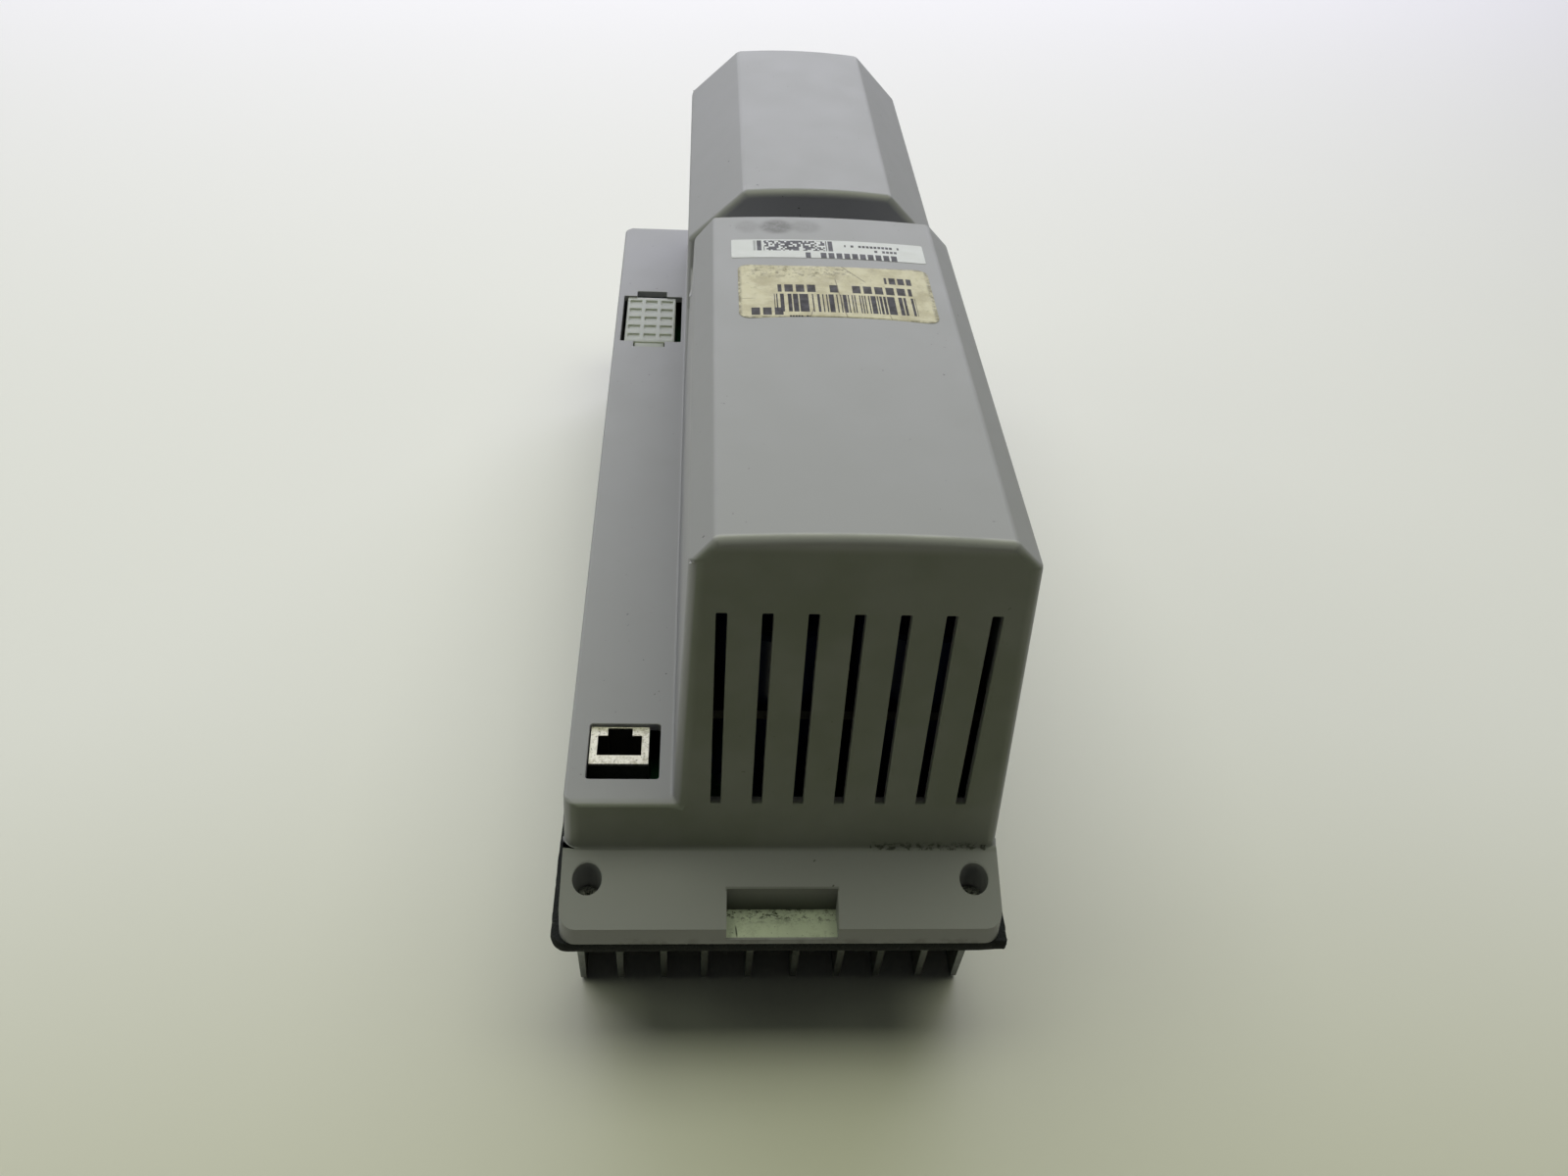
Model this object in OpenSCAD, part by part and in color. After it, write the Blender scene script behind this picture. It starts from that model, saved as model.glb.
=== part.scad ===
// Servo drive for a robot cabinet. A moulded cover and its electronics stand on a finned
// aluminium heat sink, and a foam gasket seals the drive to the cabinet panel.
// The drive lies on its fins: +Z points out of the cabinet, +Y runs along the long side,
// and the shelf with the signal sockets is on the -X side. The origin is under the middle
// of the drive, at the fin tips.

/* [Heat sink] */
// Length of the fins below the base plate
fin_h = 50; // [30:1:70]
// Thickness of the base plate at its rim
plate_t = 2; // [2:0.5:3]
// Extra thickness of the pad that carries the power modules
pad_rise = 3; // [2:0.5:4]
// Thickness of a fin at its root
fin_root = 2.6; // [2:0.1:3.5]
// Thickness of a fin at its tip
fin_tip = 1.7; // [1.2:0.1:2]

/* [Cover] */
// Length of the cover over both feet
cover_l = 385; // [370:1:400]
// Width of the cover at its lower rim
cover_w = 119.2; // [117:0.1:122]
// Wall thickness of the cover
wall = 2.5; // [2:0.1:3]
// Length of the sloped foot at each end
foot_run = 19.5; // [18:0.5:22]
// Height of the foot at its outer edge
foot_low = 6.5; // [5.5:0.5:8]
// Height of the foot where it meets the end wall
foot_high = 16; // [14:0.5:18]
// Height of the shelf above the lower rim
shelf_h = 32.7; // [30:0.1:35]
// Height of the humps above the lower rim, at the sides of their roofs
hump_h = 119.3; // [110:0.1:125]
// Rise of the roofs from their sides to the middle
crown = 1.2; // [0.6:0.1:1.6]

/* [Vents] */
// Number of slots in the end wall
slot_count = 7; // [5:1:7]
// Width of a slot
slot_w = 2.7; // [2:0.1:3.5]
// Distance from one slot to the next
slot_pitch = 10.85; // [9:0.05:11]

/* [Mounting] */
// Distance between the mounting screws across the drive
screw_dx = 104.4; // [103:0.1:105]
// Distance between the mounting screws along the drive
screw_dy = 360.9; // [358:0.1:363]
// Diameter of the mounting screw's thread
screw_d = 4; // [3.5:0.1:4.2]
// Thickness of the foam gasket
gasket_t = 3.7; // [3:0.1:5]

/* [Hidden] */
e = 0.01;
gap = 0.05;
draft = 0.035;
end_draft = 0.028;
z_rim = fin_h;
z_plate = z_rim + plate_t;
z_pad = z_plate + pad_rise;
z_wall = z_rim + foot_high;
z_shelf = z_rim + shelf_h;
z_roof = z_rim + hump_h;
z_top = z_roof + crown;
y_end = cover_l / 2;
y_wall = y_end - foot_run;
x_side = cover_w / 2;
foot_slope = (foot_high - foot_low) / foot_run;

// near hump, far hump and the grip groove between them
near_back_y = -3;
far_front_y = 16.5;
far_back_y = 157;
near_chamfer = [6, 7.4];
far_chamfer = [18.5, 17.5];
left_foot_x = -29.7;
left_draft = 0.042;
far_left_draft = 0.014;
groove_z = z_roof - 28;

// where the moulding is divided into its regions
foot_cut_y = y_wall + 0.6;
shelf_cut_x = left_foot_x - 0.9;
groove_mid_y = (near_back_y + far_front_y) / 2;

// vent slots: left edge of the first one, and their reach above the foot
slot_x = -19.8;
slot_z = [17.6, 82.5];

// skirt, plate and notches
skirt_t = 1.4;
pad_x = 54.5;
pad_y = 166;
tongue_lip = 0.6;
notch_w = 30;
notch_depth = 9.6;
head_bore_d = 7.8;
boss_d = 12;
waist_d = 3;
bush_bore_d = 3.1;
bush_d = 5;
bush_flange_d = 7.6;
bush_flange_t = 1.2;
washer_d = 7.2;
washer_t = 0.8;
head_d = 7;
head_h = 2.6;
screw_tip_z = z_rim - 15;
thread_len = 9;
recess_w = 0.8;
recess_depth = 1.4;
screw_xy = [for (sx = [-1, 1], sy = [-1, 1]) [sx * screw_dx / 2, sy * screw_dy / 2]];
cover_screw_xy = [for (sx = [-1, 1], sy = [-1, 1]) [sx * 34, sy * 184]];
cover_screw_d = 2.5;
cover_screw_head_d = 5.6;
cover_boss_d = 8;

// foam gasket: half its outline, its window and its screw holes
gasket_x = 62.3;
gasket_y = 193;
window_x = 57.9;
gasket_hole_d = 9;

// fin centres, measured from the middle outwards
fin_x = [6.85, 20.15, 32.2, 45.1, 56.3];
fin_front_y = y_wall + 1;
fin_tip_back = 3.5;

// circuit boards
board_t = 1.6;
board_z = z_pad + 8;
board_top = board_z + board_t;
board_x = [-55, 54];
board_y = [-164, 169.6];
standoff_xy = concat([for (y = [-128, 2, 130]) [-52.5, y]], [for (y = [-158, 2, 152]) [51.5, y]]);

// sockets in the shelf
jack_x = -44.7;
jack_y = -150.15;
jack_size = [16.1, 13.7];
jack_top = z_shelf - 1;
jack_hole_x = [-53.1, -33.5];
jack_hole_y = [-163.2, -143];
header_x = -44.35;
header_y = 87.95;
header_size = [20.1, 36.9];
header_top = z_shelf - 0.6;
header_pitch = [6.5, 6.95];
header_hole_x = [-55.9, -31.7];
header_hole_y = [69.2, 106.7];
header_tab_w = 12.4;
header_tab_l = 4.3;
power_x = 15;
power_y = 165;
power_size = [72, 9];
power_poles = 7;
power_pitch = 10;
power_top = z_shelf - 0.6;

// M3 screws and standoffs that hold the boards and the modules
m3_core_d = 2.9;
m3_head_d = 5.6;
m3_clear_d = 3.2;
m3_hex_d = 2;
m3_tap_depth = 4;
standoff_d = 6;

// labels on the near roof
code_label_x = [-15.1, 44.2];
code_label_y = [-32.2, -20.1];
name_label_x = [-13.4, 43.7];
name_label_y = [-69.4, -37];

// parts on the boards
module_x = 8;
module_ear_x = 36;
module_size = [79, 31, 7];
module_y = [-112, -48, 34, 98];
pad_t = 0.5;
cap_d = 35;
cap_h = 62;
cap_xy = [[-3, -138], [35, -138], [-3, -98], [35, -98]];
sensor_xy = [[-2, 128], [20, 128], [42, 128]];
relay_xy = [[40, -64], [40, -40]];
transformer_xy = [10, 52];
choke_xy = [14, 92];
choke_z = board_top + 20;
logic_x = -21;
logic_y = [26, 148];
logic_z = [board_top + 9, z_roof - 24];

// ---------- helpers ----------

// a solid whose outline points are [y, z], from x0 to x1
module along_x(points, x0, x1)
    translate([x0, 0, 0])
        rotate([90, 0, 90])
            linear_extrude(x1 - x0) polygon(points);

// a solid whose outline points are [x, z], from y0 to y1
module along_y(points, y0, y1)
    translate([0, y1, 0])
        rotate([90, 0, 0])
            linear_extrude(y1 - y0) polygon(points);

module box(x, y, z)
    translate([x[0], y[0], z[0]])
        cube([x[1] - x[0], y[1] - y[0], z[1] - z[0]]);

module post(xy, z, d)
    translate([xy[0], xy[1], z[0]])
        cylinder(d = d, h = z[1] - z[0], $fn = 32);

module both_ends() {
    children();
    mirror([0, 1, 0]) children();
}

// ---------- cover ----------

// half width of the cover at a height, less an inset
function side_x(z, inset) = x_side - inset - draft * (z - z_rim);

// left side of a hump at a height
function left_x(z, inset, lean) = left_foot_x + inset + lean * (z - z_shelf);

// outline of a hump in X and Z: walls, chamfers and a crowned roof
function hump_outline(inset, lean, chamfer, z0) =
    let (eave = z_roof - chamfer[1] - 0.4 * inset,
         roof = z_roof - inset,
         xl = left_x(eave, inset, lean) + chamfer[0] - 0.2 * inset,
         xr = side_x(eave, inset) - chamfer[1] + 0.2 * inset,
         steps = 8)
    concat([[left_x(z0, inset, lean), z0], [left_x(eave, inset, lean), eave]],
        [for (i = [0 : steps])
            let (t = i / steps)
            [xl + t * (xr - xl), roof + crown * (1 - pow(2 * t - 1, 2))]],
        [[side_x(eave, inset), eave], [side_x(z0, inset), z0]]);

// both feet and everything below the end walls
module foot_mass(inset) {
    reach = y_end - inset;
    drop = inset / cos(atan(foot_slope));
    z_out = z_rim + foot_low + foot_slope * inset - drop;
    z_in = z_wall - drop;
    z0 = z_rim - (inset > 0 ? 1 : 0);
    intersection() {
        along_x([[-reach, z0], [-reach, z_out], [-y_wall, z_in], [y_wall, z_in],
            [reach, z_out], [reach, z0]], -x_side, x_side);
        along_y([[-side_x(z0, inset), z0], [-side_x(z_wall, inset), z_wall],
            [side_x(z_wall, inset), z_wall], [side_x(z0, inset), z0]], -y_end, y_end);
    }
}

// the full-length block under the shelf
module shelf_mass(inset) {
    z0 = z_wall - foot_high / 2;
    z1 = z_shelf - inset;
    y0 = y_wall - inset + end_draft * foot_high / 2;
    y1 = y_wall - inset - end_draft * (z1 - z_wall);
    intersection() {
        along_x([[-y0, z0], [-y1, z1], [y1, z1], [y0, z0]], -x_side, x_side);
        along_y([[-side_x(z0, inset), z0], [-side_x(z1, inset), z1],
            [side_x(z1, inset), z1], [side_x(z0, inset), z0]], -y_end, y_end);
    }
}

// the hump behind the slotted wall
module near_hump(inset) {
    z0 = z_wall - foot_high / 2;
    y0 = -y_wall + inset - end_draft * foot_high / 2;
    y1 = -y_wall + inset + end_draft * (z_top - z_wall);
    intersection() {
        along_y(hump_outline(inset, left_draft, near_chamfer, z0), y0, near_back_y - inset);
        along_x([[y0, z0], [y1, z_top], [near_back_y - inset, z_top],
            [near_back_y - inset, z0]], -x_side, x_side);
    }
}

// the hump at the far end, with the wide chamfers
module far_hump(inset) {
    z0 = z_wall - foot_high / 2;
    y0 = far_front_y + inset;
    y1 = far_back_y - inset + end_draft * (z_roof - z0);
    y2 = far_back_y - inset;
    intersection() {
        along_y(hump_outline(inset, far_left_draft, far_chamfer, z0), y0, y1);
        along_x([[y0, z0], [y0, z_top], [y2, z_top], [y1, z0]], -x_side, x_side);
    }
}

// the low bridge between the humps, which is the floor of the grip groove
module bridge(inset) {
    z0 = z_wall - foot_high / 2;
    z1 = groove_z - inset;
    along_y([[left_x(z0, inset, left_draft), z0], [left_x(z1, inset, left_draft), z1],
        [side_x(z1, inset), z1], [side_x(z0, inset), z0]],
        near_back_y - wall - 1, far_front_y + wall + 1);
}

module cover_mass(inset) {
    foot_mass(inset);
    shelf_mass(inset);
    near_hump(inset);
    far_hump(inset);
    bridge(inset);
}

// the solid of one foot above the plate, which trims bosses and notch walls
module foot_trim(x, y)
    intersection() {
        foot_mass(0);
        box(x, y, [z_plate + gap, z_wall + 1]);
    }

module cover_bosses() {
    for (p = screw_xy)
        intersection() {
            foot_mass(0);
            post(p, [z_plate + gap, z_wall], boss_d);
        }
    for (p = cover_screw_xy)
        intersection() {
            foot_mass(0);
            post(p, [z_plate + gap, z_wall], cover_boss_d);
        }
    both_ends()
        foot_trim([-notch_w / 2 - 2, notch_w / 2 + 2], [-y_end, -y_end + notch_depth + 2]);
}

module cover_slots()
    for (i = [0 : slot_count - 1])
        box([slot_x + i * slot_pitch, slot_x + i * slot_pitch + slot_w],
            [-y_wall - 2, -y_wall + 9], [z_wall + slot_z[0], z_wall + slot_z[1]]);

module socket_holes() {
    z = [z_shelf - wall - 1, z_shelf + 1];
    box(jack_hole_x, jack_hole_y, z);
    box(header_hole_x, header_hole_y, z);
    box([header_x - header_tab_w / 2, header_x + header_tab_w / 2],
        [header_hole_y[0] - header_tab_l, header_hole_y[1] + header_tab_l], z);
    box([power_x - power_size[0] / 2 - 0.7, power_x + power_size[0] / 2 + 0.7],
        [power_y - power_size[1] / 2 - 0.7, power_y + power_size[1] / 2 + 0.7], z);
}

module plate_rebate() {
    box([-x_side + skirt_t, x_side - skirt_t], [-y_end + skirt_t, y_end - skirt_t],
        [z_rim - 1, z_plate + gap]);
    both_ends()
        box([-notch_w / 2, notch_w / 2], [-y_end + tongue_lip, -y_end + 5],
            [z_rim - 1, z_plate + gap]);
}

// the whole moulding
module cover()
    difference() {
        union() {
            difference() {
                cover_mass(0);
                cover_mass(wall);
            }
            cover_bosses();
        }
        plate_rebate();
        both_ends()
            box([-notch_w / 2, notch_w / 2], [-y_end - 1, -y_end + notch_depth],
                [z_plate, z_wall]);
        for (p = screw_xy) post(p, [z_rim, z_wall + 2], head_bore_d);
        for (p = cover_screw_xy) post(p, [z_rim, z_rim + 8.6], cover_screw_d + 2 * gap);
        cover_slots();
        socket_holes();
    }

// one region of the moulding; the five regions meet face to face
module cover_region(x, y)
    color([0.60, 0.60, 0.62])
    intersection() {
        cover();
        box(x, y, [z_rim - 1, z_top + 1]);
    }

module cover_near_foot()
    cover_region([-x_side - 1, x_side + 1], [-y_end - 1, -foot_cut_y]);

module cover_far_foot()
    cover_region([-x_side - 1, x_side + 1], [foot_cut_y, y_end + 1]);

module cover_shelf()
    cover_region([-x_side - 1, shelf_cut_x], [-foot_cut_y, foot_cut_y]);

module cover_near_hump()
    cover_region([shelf_cut_x, x_side + 1], [-foot_cut_y, groove_mid_y]);

module cover_far_hump()
    cover_region([shelf_cut_x, x_side + 1], [groove_mid_y, foot_cut_y]);

// ---------- heat sink, gasket and fixings ----------

module fin(x)
    intersection() {
        along_y([[x - fin_root / 2, z_rim + e], [x + fin_root / 2, z_rim + e],
            [x + fin_tip / 2, 1], [x + fin_tip / 4, 0], [x - fin_tip / 4, 0],
            [x - fin_tip / 2, 1]], -y_end, y_end);
        along_x([[-fin_front_y, z_rim + e], [-fin_front_y + 1, fin_h * 0.35],
            [-fin_front_y + fin_tip_back, 1.5], [-fin_front_y + fin_tip_back + 1.5, 0],
            [fin_front_y - fin_tip_back - 1.5, 0], [fin_front_y - fin_tip_back, 1.5],
            [fin_front_y - 1, fin_h * 0.35], [fin_front_y, z_rim + e]],
            -x_side, x_side);
    }

module heat_sink()
    color([0.36, 0.37, 0.38])
    difference() {
        union() {
            box([-x_side + skirt_t + gap, x_side - skirt_t - gap],
                [-y_end + skirt_t + gap, y_end - skirt_t - gap], [z_rim, z_plate]);
            both_ends()
                box([-notch_w / 2 + gap, notch_w / 2 - gap],
                    [-y_end + tongue_lip + gap, -y_end + 5], [z_rim, z_plate]);
            box([-pad_x, pad_x], [-pad_y, pad_y], [z_rim, z_pad]);
            for (x = fin_x, side = [-1, 1]) fin(side * x);
        }
        for (p = screw_xy) post(p, [z_rim - 1, z_pad + 1], bush_d + 2 * gap);
        for (p = cover_screw_xy) {
            post(p, [z_rim - 1, z_pad], cover_screw_d + 0.7);
            post(p, [z_rim - 1, z_rim + 1.3], cover_screw_head_d + 0.2);
        }
        for (p = standoff_xy) post(p, [z_pad - m3_tap_depth, z_pad + 1], m3_core_d + 2 * gap);
        for (y = module_y, side = [-1, 1])
            post([module_x + side * module_ear_x, y], [z_pad - m3_tap_depth, z_pad + 1],
                m3_core_d + 2 * gap);
    }

module base_gasket()
    color([0.07, 0.07, 0.08])
    difference() {
        box([-gasket_x, gasket_x], [-gasket_y, gasket_y], [z_rim - gasket_t, z_rim]);
        box([-window_x, window_x], [-fin_front_y - 1.5, fin_front_y + 1.5],
            [z_rim - gasket_t - 1, z_rim + 1]);
        for (p = screw_xy) post(p, [z_rim - gasket_t - 1, z_rim + 1], gasket_hole_d);
    }

module cover_screws()
    color([0.55, 0.55, 0.56])
    for (p = cover_screw_xy)
        difference() {
            union() {
                post(p, [z_rim + 0.1, z_rim + 1.3], cover_screw_head_d);
                post(p, [z_rim + 1, z_rim + 8], cover_screw_d);
            }
            post(p, [z_rim, z_rim + 0.9], 1.8);
        }

module retaining_bushes()
    color([0.85, 0.85, 0.80])
    for (p = screw_xy)
        difference() {
            union() {
                post(p, [z_rim - bush_flange_t, z_rim], bush_flange_d);
                post(p, [z_rim - bush_flange_t, z_plate], bush_d);
            }
            post(p, [z_rim - 3, z_plate + 1], bush_bore_d);
        }

module screw_washer(i)
    color([0.75, 0.75, 0.74])
    difference() {
        post(screw_xy[i - 1], [z_plate, z_plate + washer_t], washer_d);
        post(screw_xy[i - 1], [z_plate - 1, z_plate + washer_t + 1], bush_bore_d);
    }

// captive screw: cross-recessed head, thin waist and a threaded end
module mounting_screw(i)
    color([0.78, 0.77, 0.72])
    translate([screw_xy[i - 1][0], screw_xy[i - 1][1], 0])
    difference() {
        z_head = z_plate + washer_t;
        rotate_extrude($fn = 48)
            polygon([[0, screw_tip_z], [screw_d / 2 - 0.8, screw_tip_z],
                [screw_d / 2, screw_tip_z + 0.8], [screw_d / 2, screw_tip_z + thread_len],
                [waist_d / 2, screw_tip_z + thread_len], [waist_d / 2, z_head],
                [head_d / 2, z_head], [head_d / 2, z_head + head_h - 0.7],
                [head_d / 2 - 0.7, z_head + head_h], [0, z_head + head_h]]);
        for (a = [45, 135])
            rotate([0, 0, a])
                box([-2, 2], [-recess_w / 2, recess_w / 2],
                    [z_head + head_h - recess_depth, z_head + head_h + 1]);
    }

// ---------- boards ----------

module main_board()
    color([0.10, 0.34, 0.20])
    difference() {
        box(board_x, board_y, [board_z, board_top]);
        for (p = standoff_xy) post(p, [board_z - 1, board_top + 1], m3_clear_d);
    }

module board_standoffs()
    color([0.80, 0.68, 0.38])
    for (p = standoff_xy)
        difference() {
            union() {
                post(p, [z_pad, board_z], standoff_d);
                post(p, [z_pad - m3_tap_depth + 0.2, z_pad], m3_core_d);
            }
            post(p, [board_z - 5, board_z + 1], m3_core_d);
        }

module board_screws()
    color([0.78, 0.78, 0.76])
    for (p = standoff_xy)
        difference() {
            union() {
                post(p, [board_top, board_top + 2], m3_head_d);
                post(p, [board_z - 4.6, board_top], m3_core_d - 2 * gap);
            }
            post(p, [board_top + 1, board_top + 3], m3_hex_d);
        }

module logic_board()
    color([0.08, 0.30, 0.18]) {
        box([logic_x, logic_x + board_t], logic_y, logic_z);
        for (y = [46, 84, 122])
            box([logic_x + board_t, logic_x + board_t + 2.4], [y - 11, y + 11],
                [board_top + 24, board_top + 46]);
        for (y = [38, 66, 94, 122])
            box([logic_x + board_t, logic_x + board_t + 1.6], [y - 5, y + 5],
                [board_top + 54, board_top + 62]);
    }

module board_socket()
    color([0.12, 0.12, 0.13])
    difference() {
        box([logic_x - 2.5, logic_x + board_t + 2.5], [62, 112], [board_top, logic_z[0] + 4]);
        box([logic_x - gap, logic_x + board_t + gap], [61, 113],
            [logic_z[0] - gap, logic_z[0] + 5]);
    }

module ribbon_cable()
    color([0.62, 0.62, 0.64])
    along_y([[logic_x + 1.8, board_top + 15], [logic_x + 5, board_top + 15],
        [logic_x + 8, board_top + 12], [logic_x + 8, board_top],
        [logic_x + 7, board_top], [logic_x + 7, board_top + 11.6],
        [logic_x + 4.6, board_top + 14], [logic_x + 1.8, board_top + 14]], 118, 143);

// ---------- sockets ----------

module jack_mouth(z0) {
    box([jack_x - 6.05, jack_x + 6.05], [jack_y - 3.7, jack_y + 3.6], [z0, jack_top + 1]);
    box([jack_x - 3.4, jack_x + 3.4], [jack_y + 3.5, jack_y + 6.4], [z0, jack_top + 1]);
}

module jack_shield()
    color([0.78, 0.77, 0.72])
    difference() {
        box([jack_x - jack_size[0] / 2, jack_x + jack_size[0] / 2],
            [jack_y - jack_size[1] / 2, jack_y + jack_size[1] / 2], [board_top, jack_top]);
        box([jack_x - jack_size[0] / 2 + 0.4, jack_x + jack_size[0] / 2 - 0.4],
            [jack_y - jack_size[1] / 2 + 0.4, jack_y + jack_size[1] / 2 - 0.4],
            [board_top - 1, jack_top - 0.4]);
        jack_mouth(jack_top - 1);
    }

module jack_insert()
    color([0.06, 0.06, 0.06])
    difference() {
        box([jack_x - jack_size[0] / 2 + 0.4, jack_x + jack_size[0] / 2 - 0.4],
            [jack_y - jack_size[1] / 2 + 0.4, jack_y + jack_size[1] / 2 - 0.4],
            [board_top, jack_top - 0.4]);
        jack_mouth(jack_top - 13);
    }

module jack_contacts()
    color([0.85, 0.70, 0.35])
    for (i = [0 : 7])
        translate([jack_x - 3.57 + i * 1.02 - 0.18, 0, 0])
            along_x([[jack_y - 3.7, jack_top - 4], [jack_y - 3.4, jack_top - 4],
                [jack_y - 0.6, jack_top - 11], [jack_y - 0.9, jack_top - 11]], 0, 0.36);

// one pin chamber of the signal header
module chamber(c, r)
    translate([header_x + c * header_pitch[0], header_y + r * header_pitch[1], header_top - 11])
        union() {
            cylinder(d = 4.6, h = 12, $fn = 32);
            translate([-2.3, 0, 0]) cube([4.6, 2.2, 12]);
        }

module signal_header()
    color([0.86, 0.87, 0.82])
    difference() {
        union() {
            box([header_x - header_size[0] / 2, header_x + header_size[0] / 2],
                [header_y - header_size[1] / 2, header_y + header_size[1] / 2],
                [board_top, header_top]);
            box([header_x - 5.8, header_x + 5.8],
                [header_y - header_size[1] / 2 - 3.6, header_y + header_size[1] / 2 + 3.6],
                [header_top - 9, header_top - 1]);
        }
        for (c = [-1 : 1], r = [-2 : 2]) chamber(c, r);
    }

module signal_pins()
    color([0.80, 0.79, 0.74])
    for (c = [-1 : 1], r = [-2 : 2])
        post([header_x + c * header_pitch[0], header_y + r * header_pitch[1]],
            [header_top - 11, header_top - 2.5], 2.1);

function pole_x(i) = power_x + (i - (power_poles - 1) / 2) * power_pitch;

module power_header()
    color([0.13, 0.13, 0.14])
    difference() {
        box([power_x - power_size[0] / 2, power_x + power_size[0] / 2],
            [power_y - power_size[1] / 2, power_y + power_size[1] / 2],
            [board_top, power_top]);
        for (i = [0 : power_poles - 1])
            box([pole_x(i) - 4.2, pole_x(i) + 4.2], [power_y - 3.5, power_y + 3.5],
                [power_top - 12, power_top + 1]);
    }

module power_pins()
    color([0.80, 0.79, 0.74])
    for (i = [0 : power_poles - 1])
        box([pole_x(i) - 0.5, pole_x(i) + 0.5], [power_y - 1.2, power_y + 1.2],
            [power_top - 12, power_top - 3]);

module bus_bars()
    color([0.72, 0.45, 0.28])
    for (x = [-15, 49])
        along_x([[-76, board_top + 4], [-76, board_top], [-72, board_top],
            [-72, board_top + 3], [104, board_top + 3], [104, board_top],
            [108, board_top], [108, board_top + 4]], x, x + 3);

// ---------- power parts ----------

// power module with a screw ear in a pocket at each end
module power_module(i) {
    y = module_y[i - 1];
    z0 = z_pad + pad_t;
    color([0.10, 0.10, 0.11])
    difference() {
        box([module_x - module_size[0] / 2, module_x + module_size[0] / 2],
            [y - module_size[1] / 2, y + module_size[1] / 2], [z0, z0 + module_size[2]]);
        for (side = [-1, 1])
            translate([module_x + side * module_ear_x, y, 0]) {
                box([-4.5, 4.5], [-5, 5], [z0 + 3, z0 + module_size[2] + 1]);
                post([0, 0], [z0 - 1, z0 + 4], 3.3);
            }
    }
}

module thermal_pads()
    color([0.80, 0.82, 0.84])
    for (y = module_y)
        difference() {
            box([module_x - module_size[0] / 2, module_x + module_size[0] / 2],
                [y - module_size[1] / 2, y + module_size[1] / 2], [z_pad, z_pad + pad_t]);
            for (side = [-1, 1])
                post([module_x + side * module_ear_x, y], [z_pad - 1, board_z], 4);
        }

module module_screws()
    color([0.78, 0.78, 0.76])
    for (y = module_y, side = [-1, 1])
        translate([module_x + side * module_ear_x, y, 0])
            difference() {
                z_ear = z_pad + pad_t + 3;
                union() {
                    post([0, 0], [z_ear, z_ear + 2.2], m3_head_d);
                    post([0, 0], [z_pad - m3_tap_depth + 0.2, z_ear], m3_core_d);
                }
                post([0, 0], [z_ear + 1, z_ear + 3], m3_hex_d);
            }

module capacitor(i)
    color([0.10, 0.14, 0.30])
    translate([cap_xy[i - 1][0], cap_xy[i - 1][1], board_top])
        rotate_extrude($fn = 64)
            polygon([[0, 0], [cap_d / 2, 0], [cap_d / 2, 5], [cap_d / 2 - 0.8, 6],
                [cap_d / 2 - 0.8, 7.5], [cap_d / 2, 8.5], [cap_d / 2, cap_h - 1],
                [cap_d / 2 - 1, cap_h], [cap_d / 2 - 2.5, cap_h], [cap_d / 2 - 3, cap_h - 0.6],
                [0, cap_h - 0.6]]);

// plate with four holes that ties the capacitors together
module capacitor_clamp()
    color([0.16, 0.16, 0.17])
    difference() {
        box([-24, 54], [-158, -78], [board_top + 36, board_top + 39]);
        for (p = cap_xy) post(p, [board_top + 30, board_top + 45], cap_d + 0.6);
    }

module current_sensor(i)
    color([0.12, 0.16, 0.22])
    difference() {
        box([sensor_xy[i - 1][0] - 9, sensor_xy[i - 1][0] + 9],
            [sensor_xy[i - 1][1] - 5, sensor_xy[i - 1][1] + 5],
            [board_top, board_top + 22]);
        translate([sensor_xy[i - 1][0], sensor_xy[i - 1][1] + 6, board_top + 12])
            rotate([90, 0, 0]) cylinder(d = 9, h = 12, $fn = 32);
    }

module relay(i)
    color([0.16, 0.30, 0.52])
    difference() {
        box([relay_xy[i - 1][0] - 12, relay_xy[i - 1][0] + 5],
            [relay_xy[i - 1][1] - 8, relay_xy[i - 1][1] + 8], [board_top, board_top + 26]);
        post([relay_xy[i - 1][0] - 8, relay_xy[i - 1][1] - 5],
            [board_top + 24.5, board_top + 27], 2);
    }

module transformer_core()
    color([0.20, 0.20, 0.21])
    translate([transformer_xy[0], transformer_xy[1], board_top])
        difference() {
            box([-20, 20], [-8, 8], [0, 34]);
            box([-13, -7], [-9, 9], [6, 28]);
            box([7, 13], [-9, 9], [6, 28]);
        }

module transformer_winding()
    color([0.80, 0.62, 0.20])
    translate([transformer_xy[0], transformer_xy[1], board_top])
        difference() {
            box([-12.6, 12.6], [-13, 13], [6.4, 27.6]);
            box([-7.4, 7.4], [-8.4, 8.4], [5, 29]);
        }

module choke_core()
    color([0.18, 0.24, 0.20])
    translate([choke_xy[0], choke_xy[1], choke_z])
        rotate([90, 0, 0])
            rotate_extrude($fn = 48)
                polygon([[11, -6], [17, -6], [17, 6], [11, 6]]);

module choke_winding()
    color([0.72, 0.42, 0.22])
    translate([choke_xy[0], choke_xy[1], choke_z])
        for (a = [-60 : 20 : 60], side = [0, 180])
            rotate([0, a + side, 0])
                translate([14, 0, 0])
                    difference() {
                        box([-4.4, 4.4], [-7.4, 7.4], [-0.9, 0.9]);
                        box([-3.1, 3.1], [-6.1, 6.1], [-1, 1]);
                    }

// cradle that the choke stands in
module choke_saddle()
    color([0.14, 0.14, 0.15])
    difference() {
        box([choke_xy[0] - 4.5, choke_xy[0] + 4.5], [choke_xy[1] - 9, choke_xy[1] + 9],
            [board_top, choke_z - 15]);
        translate([choke_xy[0], choke_xy[1] + 10, choke_z])
            rotate([90, 0, 0]) cylinder(r = 17.1, h = 20, $fn = 64);
    }

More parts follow.
